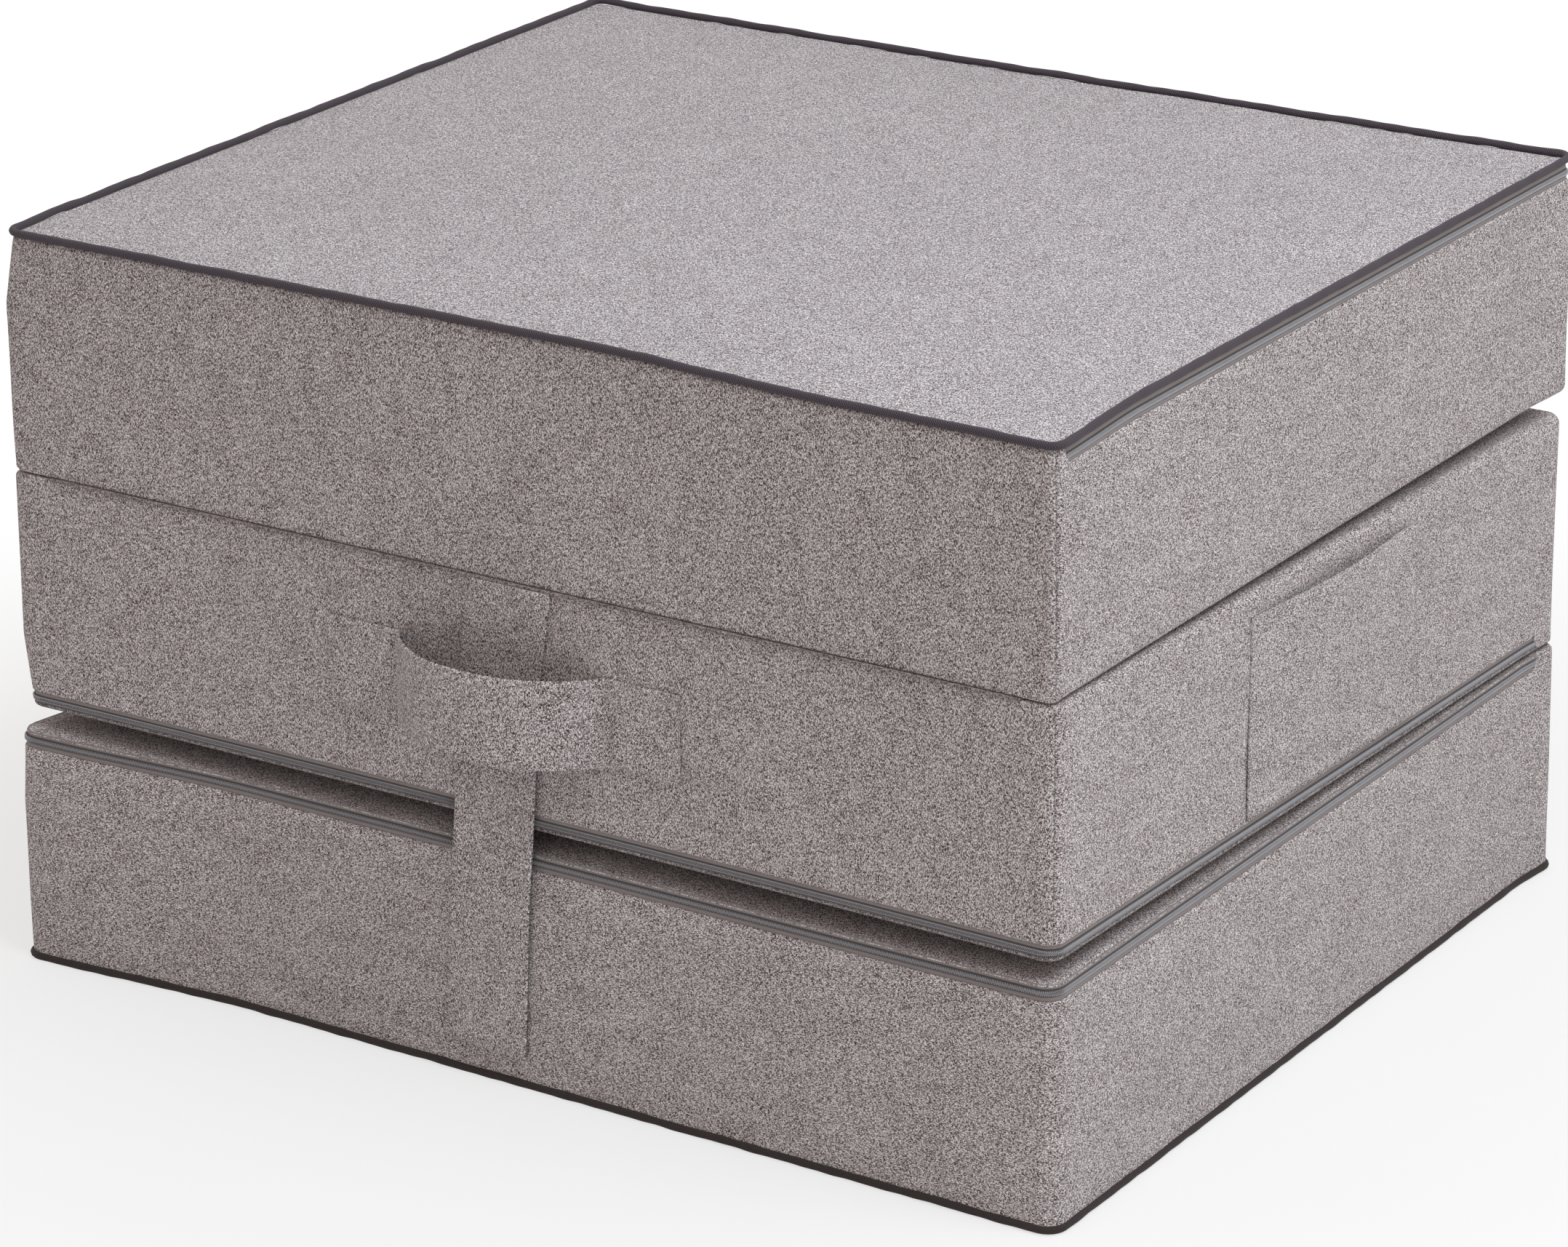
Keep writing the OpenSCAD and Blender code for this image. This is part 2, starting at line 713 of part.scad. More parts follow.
// Upper run of the closing strap, from the seam down to the bend
module closing_strap() {
    low = strap_t / 2 + soft_clear - strap_bend_drop;
    high = block_t + seam_gap / 2 - bead_r - soft_clear - strap_w / 2 * sin(strap_lean);
    color(strap_grey) strap_section() polygon([
        from_middle(strap_in, low), from_middle(strap_in, high),
        from_middle(strap_in - strap_t, high), from_middle(strap_in - strap_t, low)]);
}

// Free tail of the strap, hanging from the bend over the lower strap
module strap_tail() {
    r = strap_t / 2;
    knee_z = strap_axis[1] - strap_ease_h;
    color(strap_grey) strap_section() {
        translate(strap_axis) circle(r);
        polygon([
            strap_axis + [r, 0], strap_axis - [r, 0], [tail_out, knee_z],
            [tail_out, strap_end_z + r], [tail_in, strap_end_z + r], [tail_in, knee_z]]);
        translate([(tail_in + tail_out) / 2, strap_end_z + r]) circle(r);
    }
}

module hook_patch() {
    low = strap_end_z + patch_border;
    color(near_black) strap_section(patch_border) polygon([
        [hook_in, low], [hook_in, low + hook_h], [tail_in, low + hook_h], [tail_in, low]]);
}

// Lower strap, sewn in above the bottom piping, which its leaning corner just clears
lower_z = bottom_piping_z + piping_d / 2 + sewn_clear + strap_w / 2 * sin(strap_lean)
    - front_axis.z * (1 - cos(strap_lean));

module lower_strap() {
    r = strap_t / 2;
    top = lower_z + lower_strap_h;
    color(strap_grey) strap_section() {
        polygon([
            [lower_in, lower_z], [lower_in, top - r], [lower_out, top - r],
            [lower_out, lower_z]]);
        translate([lower_in - r, top - r]) circle(r);
    }
}

module loop_patch() {
    low = strap_end_z + patch_border;
    high = lower_z + lower_strap_h - patch_border;
    color(charcoal) strap_section(patch_border) polygon([
        [loop_out, low], [loop_out, high], [lower_out, high], [lower_out, low]]);
}

// The pocket's cloth over the right wall: sewn at both ends and below, open above
pocket_steps = 14;
pocket_rows = 7;
// Power that sets how flat the pocket lies by its sewn ends
pocket_power_share = 1.6;
pocket_low = inner_band_drop + inner_band_h + soft_clear;
pocket_high = block_t - pocket_drop;
// Distance of the cloth's inner side from the wall's plane, at shares u and v of the panel
function pocket_lift(u, v) =
    soft_clear + (pocket_gape - soft_clear)
    * pow(sin(180 * u), pocket_power_share) * pow(v, 2) * (3 - 2 * v);

module side_pocket() {
    n = pocket_steps + 1;
    m = pocket_rows + 1;
    half = n * m;
    grid = [for (layer = [0, 1]) for (j = [0:pocket_rows]) for (i = [0:pocket_steps])
        let (u = i / pocket_steps, v = j / pocket_rows)
        [half_l + pocket_lift(u, v) + layer * pocket_t,
         pocket_y + pocket_w * (u - 1 / 2),
         pocket_low + (pocket_high - pocket_low) * v]];
    color(cloth_light) in_middle() polyhedron(points = grid, faces = concat(
        [for (j = [0:m - 2]) for (i = [0:n - 2]) let (a = j * n + i)
            each quad(half + a, half + a + 1, half + a + n + 1, half + a + n)],
        [for (j = [0:m - 2]) for (i = [0:n - 2]) let (a = j * n + i)
            each quad(a, a + n, a + n + 1, a + 1)],
        [for (i = [0:n - 2]) each quad(i, i + 1, half + i + 1, half + i)],
        [for (i = [0:n - 2]) let (a = (m - 1) * n + i)
            each quad(a + 1, a, half + a, half + a + 1)],
        [for (j = [0:m - 2]) let (a = j * n) each quad(a + n, a, half + a, half + a + n)],
        [for (j = [0:m - 2]) let (a = j * n + n - 1)
            each quad(a, a + n, half + a + n, half + a)]));
}

bottom_foam();
bottom_cover_body();
bottom_cover_lid();
bottom_base_panel();
bottom_piping();
in_bottom() zip_tape(bottom_form, -1);  // bottom_zip_tape_body_side
in_bottom() zip_tape(bottom_form, 1);  // bottom_zip_tape_lid_side
in_bottom() zip_coil(bottom_form, -1);  // bottom_zip_coil_body_side
in_bottom() zip_coil(bottom_form, 1);  // bottom_zip_coil_lid_side
at_bottom_slider() zip_slider();  // bottom_zip_slider
at_bottom_slider() zip_pull();  // bottom_zip_pull
back_seam_strip();
lower_strap();
loop_patch();
middle_foam();
middle_cover_body();
middle_cover_lid();
in_middle_turned() zip_tape(middle_form, -1);  // middle_zip_tape_body_side
in_middle_turned() zip_tape(middle_form, 1);  // middle_zip_tape_lid_side
in_middle_turned() zip_coil(middle_form, -1);  // middle_zip_coil_body_side
in_middle_turned() zip_coil(middle_form, 1);  // middle_zip_coil_lid_side
at_middle_slider() zip_slider();  // middle_zip_slider
at_middle_slider() zip_pull();  // middle_zip_pull
front_seam_strip();
carry_handle();
side_pocket();
closing_strap();
strap_tail();
hook_patch();
top_foam();
top_cover_body();
top_cover_lid();
top_piping();
in_top() zip_tape(top_form, -1);  // top_zip_tape_body_side
in_top() zip_tape(top_form, 1);  // top_zip_tape_lid_side
in_top() zip_coil(top_form, -1);  // top_zip_coil_body_side
in_top() zip_coil(top_form, 1);  // top_zip_coil_lid_side
at_top_slider() zip_slider();  // top_zip_slider
at_top_slider() zip_pull();  // top_zip_pull
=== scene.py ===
import json
import math
import bmesh
import bpy
import numpy as np
from mathutils import Matrix, Vector


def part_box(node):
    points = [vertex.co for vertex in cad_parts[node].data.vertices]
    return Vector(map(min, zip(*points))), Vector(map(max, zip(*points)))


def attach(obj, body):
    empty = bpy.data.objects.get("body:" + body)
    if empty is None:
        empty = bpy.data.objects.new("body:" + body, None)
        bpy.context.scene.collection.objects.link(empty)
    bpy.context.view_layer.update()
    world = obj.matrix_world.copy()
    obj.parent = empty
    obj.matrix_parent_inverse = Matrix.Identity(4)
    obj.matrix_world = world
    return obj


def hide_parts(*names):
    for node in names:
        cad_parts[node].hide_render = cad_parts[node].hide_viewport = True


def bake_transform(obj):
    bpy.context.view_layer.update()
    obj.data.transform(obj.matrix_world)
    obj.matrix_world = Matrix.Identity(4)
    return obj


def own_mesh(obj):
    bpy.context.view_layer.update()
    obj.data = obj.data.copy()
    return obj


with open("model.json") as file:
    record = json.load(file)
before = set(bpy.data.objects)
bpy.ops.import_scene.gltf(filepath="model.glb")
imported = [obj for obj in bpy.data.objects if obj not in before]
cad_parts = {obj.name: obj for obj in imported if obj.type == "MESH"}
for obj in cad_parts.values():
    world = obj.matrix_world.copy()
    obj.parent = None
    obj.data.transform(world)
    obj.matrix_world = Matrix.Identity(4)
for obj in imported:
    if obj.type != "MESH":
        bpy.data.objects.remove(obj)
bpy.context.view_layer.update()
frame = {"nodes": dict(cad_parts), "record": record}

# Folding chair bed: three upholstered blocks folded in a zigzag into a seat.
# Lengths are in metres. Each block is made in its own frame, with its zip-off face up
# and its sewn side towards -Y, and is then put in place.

MM = 0.001
joints = {j["name"]: j for j in frame["record"]["behaviour"]["joints"]}

# Blocks
BLOCK_L = 0.800
BLOCK_W = 0.667
BLOCK_T = 0.165
HALF_L, HALF_W = BLOCK_L / 2, BLOCK_W / 2
FOLD_CLEAR = 1.6 * MM
FRONT_GAP, BACK_GAP, SEAM_GAP = 17 * MM, 4 * MM, 1.2 * MM
BACK_AXIS = np.array(joints["mid_fold"]["pos_m"])
FRONT_AXIS = np.array(joints["top_fold"]["pos_m"])
WEDGE = math.asin((FRONT_GAP - BACK_GAP) / (BLOCK_W + FOLD_CLEAR))

# Zips
TAPE_DEPTH = 1 * MM
COIL_PITCH = 1.2 * MM

# Strips of doubled cloth
STRIP_T = 2.4 * MM
SOFT_CLEAR = 0.3 * MM

# Camera, fitted to the photograph's edges
CAMERA_PLACE = (2.0169, -3.0181, 1.6197)
CAMERA_AZIMUTH, CAMERA_ELEVATION, CAMERA_ROLL = 33.936, 20.0, -1.010
CAMERA_LENS_MM = 131.62
CAMERA_SHIFT = -0.0773


# Placing

def turned(axis, degrees):
    """4 x 4 matrix of a turn about a row axis."""
    return np.array(Matrix.Rotation(math.radians(degrees), 4, axis))


def moved(x, y, z):
    """4 x 4 matrix of a shift."""
    return np.array(Matrix.Translation((x, y, z)))


def put(points, place):
    """Points of any array shape (..., 3), carried by a 4 x 4 matrix."""
    return points @ place[:3, :3].T + place[:3, 3]


IN_BOTTOM = turned("Z", 180)
IN_MIDDLE = (moved(*BACK_AXIS) @ turned("X", -math.degrees(WEDGE))
             @ moved(0, -FOLD_CLEAR - HALF_W, BACK_GAP / 2))
IN_MIDDLE_TURNED = IN_MIDDLE @ moved(0, 0, BLOCK_T) @ turned("X", 180)
IN_TOP = moved(*(FRONT_AXIS + [0, FOLD_CLEAR + HALF_W, SEAM_GAP / 2]))


# Meshes

def grid_corners(high, wide):
    """Row and column of the four corners of every quad in a grid of high by wide quads."""
    r, c = np.arange(high)[:, None], np.arange(wide)[None, :]
    return (r, c), (r + 1, c), (r + 1, c + 1), (r, c + 1)


def grid_quads(rows, cols, closed_rows=False, closed_cols=False, flip=False):
    """Quads of a grid of points, numbered row by row. Row r joins row r + 1 and column c
    joins column c + 1, and a closed direction also joins its last line to its first."""
    corners = grid_corners(rows - 1 + closed_rows, cols - 1 + closed_cols)
    quads = np.stack([r % rows * cols + c % cols for r, c in corners], -1).reshape(-1, 4)
    return quads[:, ::-1] if flip else quads


def mapped(points, u, v, flip=False):
    """Points, quads and UV of a grid of points. u and v have one more row or column than
    the points where the grid is closed, so that the map does not run back over itself."""
    rows, cols = points.shape[:2]
    high, wide = len(u) - 1, len(u[0]) - 1
    quads = grid_quads(rows, cols, high == rows, wide == cols, flip)
    corners = [np.stack([u[p], v[p]], -1) for p in grid_corners(high, wide)]
    uv = np.stack(corners, 2).reshape(-1, 4, 2)
    return points.reshape(-1, 3), quads, uv[:, ::-1] if flip else uv


def rim_of(n, m):
    """Both indices of a grid's rim, once round: along its first column, its last row, and
    back along its last column and its first row."""
    i = np.concatenate([np.arange(n - 1), np.full(m - 1, n - 1),
                        np.arange(n - 1, 0, -1), np.zeros(m - 1, int)])
    j = np.concatenate([np.zeros(n - 1, int), np.arange(m - 1),
                        np.full(n - 1, m - 1), np.arange(m - 1, 0, -1)])
    return i, j


def closed_map(*fields):
    """Fields of a UV map with their first column put once more at their end."""
    return [np.concatenate([f, f[:, :1]], 1) for f in fields]


def distance_along(points):
    """Distance run along a line of points, from 0 at the first."""
    steps = np.linalg.norm(np.diff(points, axis=0), axis=-1)
    return np.concatenate([[0], np.cumsum(steps)])


def welded(points, quads):
    """Points that coincide become one. Returns the points, the quads and the new number
    of each old point."""
    keys = np.round(points / 1e-7).astype(np.int64)
    _, first, number = np.unique(keys, axis=0, return_index=True, return_inverse=True)
    number = number.reshape(-1)
    return points[first], number[quads], number


def boxed(foot, band, face):
    """Welded points and quads of a foot face, the rings of points between the faces and an
    upper face, and the new number of each old point."""
    n, m = foot.shape[:2]
    rows, cols = band.shape[:2]
    quads = np.concatenate([
        grid_quads(n, m, flip=True), grid_quads(rows, cols, closed_cols=True, flip=True) + n * m,
        grid_quads(n, m) + n * m + rows * cols])
    return welded(np.concatenate([part.reshape(-1, 3) for part in (foot, band, face)]), quads)


def piece(name, points, quads, uv, material, body, nodes=(), slot=None, marks=None):
    """A smooth mesh object from (n, 3) points, (m, 4) quads and their (m, 4, 2) UV, riding
    on a body. It replaces the CAD nodes named. marks are point attributes by name."""
    mesh = bpy.data.meshes.new(name)
    count = len(quads)
    mesh.vertices.add(len(points))
    mesh.vertices.foreach_set("co", points.astype(np.float32).ravel())
    mesh.loops.add(4 * count)
    mesh.loops.foreach_set("vertex_index", quads.astype(np.int32).ravel())
    mesh.polygons.add(count)
    mesh.polygons.foreach_set("loop_start", np.arange(0, 4 * count, 4, dtype=np.int32))
    mesh.polygons.foreach_set("use_smooth", np.ones(count, bool))
    mesh.update(calc_edges=True)
    mesh.validate()
    if uv is not None:
        layer = mesh.uv_layers.new(name="cloth")
        layer.data.foreach_set("uv", uv.astype(np.float32).ravel())
    for key, values in (marks or {}).items():
        mark = mesh.attributes.new(key, "FLOAT", "POINT")
        mark.data.foreach_set("value", values.astype(np.float32))
    mesh.materials.append(material)
    obj = bpy.data.objects.new(name, mesh)
    bpy.context.scene.collection.objects.link(obj)
    if body:
        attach(obj, body)
    if nodes:
        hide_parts(*nodes)
    return obj


def joined(*grids):
    """Several (points, quads, uv, seam) in one, with the points where they meet welded.
    seam is one value for each point: how much sewn lines and painted shade darken it."""
    starts = np.cumsum([0] + [len(g[0]) for g in grids[:-1]])
    quads = np.concatenate([g[1] + s for g, s in zip(grids, starts)])
    points, quads, number = welded(np.concatenate([g[0] for g in grids]), quads)
    seam = np.zeros(len(points))
    np.maximum.at(seam, number, np.concatenate([np.ravel(g[3]) for g in grids]))
    return points, quads, np.concatenate([g[2] for g in grids]), {"seam": seam}


# Materials

def add(tree, kind, inputs=(), **settings):
    """A node with its settings, and its inputs as values or links by socket name."""
    node = tree.nodes.new(kind)
    for key, value in settings.items():
        setattr(node, key, value)
    for key, value in dict(inputs).items():
        socket = node.inputs[key]
        if isinstance(value, bpy.types.NodeSocket):
            tree.links.new(value, socket)
        elif np.isscalar(value):
            socket.default_value = value
        else:
            socket.default_value = tuple(value)[:len(socket.default_value)]
    return node


def maths(tree, operation, *values):
    """A Math node's output."""
    return add(tree, "ShaderNodeMath", enumerate(values), operation=operation).outputs[0]


def blended(tree, share, low, high):
    """The colour that lies at a share between two colours."""
    return add(tree, "ShaderNodeMix", {0: share, 6: low, 7: high}, data_type="RGBA").outputs[2]


def mixed(tree, share, low, high):
    """The number that lies at a share between two numbers."""
    return add(tree, "ShaderNodeMix", {0: share, 2: low, 3: high}).outputs[0]


def multiplied(tree, tint, factor):
    """A colour times a number, or a place times another, value by value."""
    return add(tree, "ShaderNodeVectorMath", {0: tint, 1: factor}, operation="MULTIPLY").outputs[0]


def stretched(tree, value, low, high):
    """A number made 0 at low and 1 at high, and kept between them."""
    return add(tree, "ShaderNodeMapRange", {
        "Value": value, "From Min": low, "From Max": high}).outputs[0]


def noise(tree, where, scale, detail, roughness=0.5, flat=False):
    """Outputs of a noise texture, through space or over the cloth's own plane."""
    return add(tree, "ShaderNodeTexNoise", {
        "Vector": where, "Scale": scale, "Detail": detail, "Roughness": roughness},
        noise_dimensions="2D" if flat else "3D").outputs


def colour(r, g, b):
    """A linear colour from sRGB values of 0 to 255."""
    def linear(c):
        c = c / 255
        return c / 12.92 if c <= 0.04045 else ((c + 0.055) / 1.055) ** 2.4
    return (linear(r), linear(g), linear(b), 1)


def node_group(name, inputs, outputs):
    """A shader node group with named sockets. Inputs are (name, type, default)."""
    tree = bpy.data.node_groups.new(name, "ShaderNodeTree")
    for key, kind, default in inputs:
        socket = tree.interface.new_socket(key, in_out="INPUT", socket_type=kind)
        if default is not None:
            socket.default_value = default
    for key, kind in outputs:
        tree.interface.new_socket(key, in_out="OUTPUT", socket_type=kind)
    return tree, tree.nodes.new("NodeGroupInput").outputs, tree.nodes.new("NodeGroupOutput")


FLOAT, RGBA, VECTOR = "NodeSocketFloat", "NodeSocketColor", "NodeSocketVector"
WARM_YARN, COOL_YARN = (1.03, 1.0, 0.98, 1), (0.97, 1.0, 1.02, 1)


def make_melange():
    """Weave of mottled yarns with the warp on top at four crossings of five. A yarn's
    tone and hue drift along its length, which gives short light and dark streaks."""
    tree, given, out = node_group("melange weave", [
        ("Cloth", VECTOR, None), ("Pitch", FLOAT, 0.6 * MM), ("Fleck", FLOAT, 2.6),
        ("Light", RGBA, (1, 1, 1, 1)), ("Dark", RGBA, (0, 0, 0, 1)), ("Cloudy", FLOAT, 0.03)],
        [("Color", RGBA), ("Height", FLOAT)])
    wander = noise(tree, given["Cloth"], 420, 1, flat=True)["Color"]
    sway = add(tree, "ShaderNodeVectorMath", {0: wander, 1: (0.5, 0.5, 0.5)},
               operation="SUBTRACT")
    cloth = add(tree, "ShaderNodeVectorMath",
                {0: sway.outputs[0], 1: (0.65 * MM, 0.8 * MM, 0), 2: given["Cloth"]},
                operation="MULTIPLY_ADD")
    place = add(tree, "ShaderNodeSeparateXYZ", {0: cloth.outputs[0]})
    across = maths(tree, "DIVIDE", place.outputs[0], given["Pitch"])
    along = maths(tree, "DIVIDE", place.outputs[1], given["Pitch"])
    warp, weft = maths(tree, "FLOOR", across), maths(tree, "FLOOR", along)
    over = maths(tree, "LESS_THAN",
                 maths(tree, "FLOORED_MODULO", maths(tree, "ADD", warp, weft), 5), 1)
    drifts = []
    for number, run, offset in ((warp, along, 0), (weft, across, 40), (warp, along, 90)):
        where = add(tree, "ShaderNodeCombineXYZ", {
            0: maths(tree, "MULTIPLY_ADD", number, 1.37, offset),
            1: maths(tree, "DIVIDE", run, given["Fleck"])})
        drifts.append(noise(tree, where.outputs[0], 1, 2, 0.65, flat=True)["Fac"])
    tone = stretched(tree, mixed(tree, over, drifts[0], drifts[1]), 0.39, 0.665)
    drawn_out = multiplied(tree, given["Cloth"], (1, 0.35, 1))
    cloud = noise(tree, drawn_out, 55, 3, 0.6, flat=True)["Fac"]
    drift = maths(tree, "MULTIPLY", maths(tree, "SUBTRACT", cloud, 0.5), given["Cloudy"])
    tone = maths(tree, "ADD", tone, maths(tree, "MULTIPLY", drift, 6))
    ridges = [maths(tree, "SINE", maths(tree, "MULTIPLY", maths(tree, "FRACT", run), math.pi))
              for run in (across, along)]
    ridge = mixed(tree, over, ridges[0], ridges[1])
    shown = blended(tree, tone, given["Dark"], given["Light"])
    hue = blended(tree, stretched(tree, drifts[2], 0.38, 0.62), WARM_YARN, COOL_YARN)
    shown = multiplied(tree, shown, hue)
    # Painted shade on the yarns: the colour is darker at their rounded sides and in the gaps
    # between them, lighter on their crests.
    gap = maths(tree, "MULTIPLY_ADD", ridge, 0.25, 0.80)
    tree.links.new(multiplied(tree, shown, gap), out.inputs["Color"])
    height = maths(tree, "ADD", ridge, maths(tree, "MULTIPLY", tone, 0.5))
    tree.links.new(height, out.inputs["Height"])
    return tree


def make_twill():
    """Herringbone of fine ridges: stripes that lean one way in one row and the other way
    in the next, as the sawtooth of (run + lean |row - 1/2|) / pitch."""
    tree, given, out = node_group("herringbone", [
        ("Cloth", VECTOR, None), ("Pitch", FLOAT, 0.9 * MM), ("Row", FLOAT, 3 * MM),
        ("Lean", FLOAT, 1.0)], [("Ridge", FLOAT)])
    place = add(tree, "ShaderNodeSeparateXYZ", {0: given["Cloth"]})
    row = maths(tree, "PINGPONG", place.outputs[1], given["Row"])
    run = maths(tree, "MULTIPLY_ADD", row, given["Lean"], place.outputs[0])
    turns = maths(tree, "DIVIDE", run, given["Pitch"])
    wave = maths(tree, "SINE", maths(tree, "MULTIPLY", turns, 2 * math.pi))
    tree.links.new(maths(tree, "MULTIPLY_ADD", wave, 0.5, 0.5), out.inputs["Ridge"])
    return tree


def make_wear():
    """Slow change of tone over a surface, from 1 - Depth to 1 + Depth."""
    tree, given, out = node_group("uneven tone", [
        ("Scale", FLOAT, 12), ("Depth", FLOAT, 0.06)], [("Factor", FLOAT)])
    where = add(tree, "ShaderNodeTexCoord").outputs["Object"]
    grain = noise(tree, where, given["Scale"], 4)["Fac"]
    swing = maths(tree, "MULTIPLY", maths(tree, "SUBTRACT", grain, 0.5), 4)
    swing = maths(tree, "MULTIPLY_ADD", swing, given["Depth"], 1)
    tree.links.new(swing, out.inputs["Factor"])
    return tree


MELANGE, TWILL, WEAR = make_melange(), make_twill(), make_wear()


def use(tree, group, inputs):
    """A node group placed in a material."""
    return add(tree, "ShaderNodeGroup", inputs, node_tree=group).outputs


def uneven(tree, scale, depth):
    """The uneven tone's factor."""
    return use(tree, WEAR, {"Scale": scale, "Depth": depth})["Factor"]


def cloth_place(tree):
    """A piece's own map, in metres of cloth."""
    return add(tree, "ShaderNodeUVMap", uv_map="cloth").outputs[0]


def darkened_by_seam_and_painted_shade(tree, tint, depth):
    """A colour darkened by the attribute seam, which holds sewn lines and painted shade, by
    depth where that is 1.
    """
    seam = add(tree, "ShaderNodeAttribute", attribute_name="seam").outputs["Fac"]
    return multiplied(tree, tint, maths(tree, "MULTIPLY_ADD", seam, -depth, 1))


def surface(name, **shader):
    """A material and its Principled shader, with the values that are the same all over."""
    material = bpy.data.materials.new(name)
    material.use_nodes = True
    node = material.node_tree.nodes["Principled BSDF"]
    for key, value in shader.items():
        node.inputs[key.replace("_", " ").title().replace("Ior", "IOR")].default_value = value
    return material, material.node_tree, node.inputs


def bumped(tree, shader, height, distance):
    """Height in front of the shader's normal."""
    bump = add(tree, "ShaderNodeBump", {"Height": height, "Distance": distance, "Strength": 1.0})
    tree.links.new(bump.outputs[0], shader["Normal"])


def cloth_material(name, light, dark, pitch=0.6 * MM, fleck=2.6, cloudy=0.03, seams=False):
    """Melange cover cloth. Where seams is true the attribute seam darkens sewn lines, and
    paints shade on a zip-off face's lip.
    """
    material, tree, shader = surface(
        name, roughness=0.92, sheen_weight=0.12, sheen_roughness=0.5, specular_ior_level=0.25)
    weave = use(tree, MELANGE, {
        "Cloth": cloth_place(tree), "Pitch": pitch, "Fleck": fleck, "Light": light, "Dark": dark,
        "Cloudy": cloudy})
    shown = multiplied(tree, weave["Color"], uneven(tree, 9.0, 0.03))
    if seams:
        shown = darkened_by_seam_and_painted_shade(tree, shown, 0.4)
    tree.links.new(shown, shader["Base Color"])
    bumped(tree, shader, weave["Height"], 0.12 * MM)
    return material


def twill_material(name, light, dark, pitch, row, depth, seams=False):
    """Cord or tape cloth with herringbone ridges. Where seams is true the attribute seam
    paints shade on the tape under and beside the coil, together with the coil's stitch line."""
    material, tree, shader = surface(
        name, roughness=0.8, sheen_weight=0.1, specular_ior_level=0.3)
    ridge = use(tree, TWILL, {
        "Cloth": cloth_place(tree), "Pitch": pitch, "Row": row, "Lean": 1.0})["Ridge"]
    shown = multiplied(tree, blended(tree, ridge, dark, light), uneven(tree, 30.0, 0.05))
    if seams:
        shown = darkened_by_seam_and_painted_shade(tree, shown, 0.6)
    tree.links.new(shown, shader["Base Color"])
    bumped(tree, shader, ridge, depth)
    return material


def plastic_material(name, tint, roughness):
    """Moulded nylon, a little uneven in tone and gloss."""
    material, tree, shader = surface(name, roughness=roughness, specular_ior_level=0.5)
    tone = uneven(tree, 400.0, 0.08)
    tree.links.new(multiplied(tree, tint, tone), shader["Base Color"])
    tree.links.new(maths(tree, "MULTIPLY", tone, roughness), shader["Roughness"])
    return material


def metal_material(name, tint):
    """Satin zinc with fine scratches along X and dull spots."""
    material, tree, shader = surface(name, metallic=1.0)
    where = add(tree, "ShaderNodeTexCoord").outputs["Object"]
    lines = noise(tree, multiplied(tree, where, (1, 9, 9)), 900, 3)["Fac"]
    tree.links.new(multiplied(tree, tint, uneven(tree, 220.0, 0.08)), shader["Base Color"])
    tree.links.new(maths(tree, "MULTIPLY_ADD", lines, 0.22, 0.2), shader["Roughness"])
    bumped(tree, shader, lines, 0.03 * MM)
    return material


def foam_material(name, tint):
    """Open-celled foam: pores from a cell texture."""
    material, tree, shader = surface(name, roughness=0.95, specular_ior_level=0.2)
    where = add(tree, "ShaderNodeTexCoord").outputs["Object"]
    cells = add(tree, "ShaderNodeTexVoronoi", {"Vector": where, "Scale": 700}).outputs[0]
    tone = maths(tree, "MULTIPLY_ADD", cells, -0.5, 1.1)
    tree.links.new(multiplied(tree, tint, tone), shader["Base Color"])
    bumped(tree, shader, cells, 0.5 * MM)
    return material


def pile_material(name, tint, scale, depth):
    """Hooks or loops of a fastening: close dots with dark gaps."""
    material, tree, shader = surface(name, roughness=0.85, sheen_weight=0.2)
    dots = add(tree, "ShaderNodeTexVoronoi", {
        "Vector": cloth_place(tree), "Scale": scale, "Randomness": 0.35},
        voronoi_dimensions="2D").outputs["Distance"]
    tone = maths(tree, "MULTIPLY_ADD", dots, -0.9, 1.25)
    tree.links.new(multiplied(tree, tint, tone), shader["Base Color"])
    bumped(tree, shader, maths(tree, "SUBTRACT", 1, dots), depth)
    return material


SIDE_CLOTH = cloth_material("side cloth", colour(254, 247, 247), colour(76, 56, 51), seams=True)
TOP_CLOTH = cloth_material("top cloth", colour(252, 248, 252), colour(92, 81, 82), cloudy=0.02)
STRIP_CLOTH = cloth_material("strip cloth", colour(255, 248, 248), colour(68, 50, 46))
BASE_CLOTH = cloth_material("base cloth", colour(70, 66, 68), colour(40, 37, 38),
                            pitch=0.8 * MM, cloudy=0.05)
TOP_PIPING = twill_material("top piping cloth", colour(92, 83, 91), colour(40, 34, 40),
                            1.7 * MM, 2.6 * MM, 0.2 * MM)
FOOT_PIPING = twill_material("foot piping cloth", colour(64, 52, 50), colour(30, 24, 24),
                             1.7 * MM, 2.6 * MM, 0.2 * MM)
TAPE_CLOTH = twill_material("zip tape", colour(160, 152, 150), colour(132, 124, 122),
                            0.7 * MM, 1.3 * MM, 0.08 * MM, seams=True)
# Darker than the side cloth: partly the seam's own dark thread, partly painted shade of the groove
# on the hinge line.
HINGE_SEAM_AND_PAINTED_SHADE_CLOTH = cloth_material("hinge seam cloth with painted shade", colour(200, 188, 186), colour(70, 57, 54))
COIL_NYLON = plastic_material("coil nylon", colour(180, 178, 182), 0.42)
ZIP_METAL = metal_material("slider metal", colour(186, 187, 190))
FOAM = foam_material("foam", colour(238, 229, 200))
LOOP_PILE = pile_material("loop pile", colour(70, 64, 68), 900, 0.4 * MM)
HOOK_TAPE = pile_material("hook tape", colour(52, 49, 50), 700, 0.5 * MM)
THREAD = plastic_material("sewing thread", colour(168, 162, 163), 0.7)


# Camera, floor and light

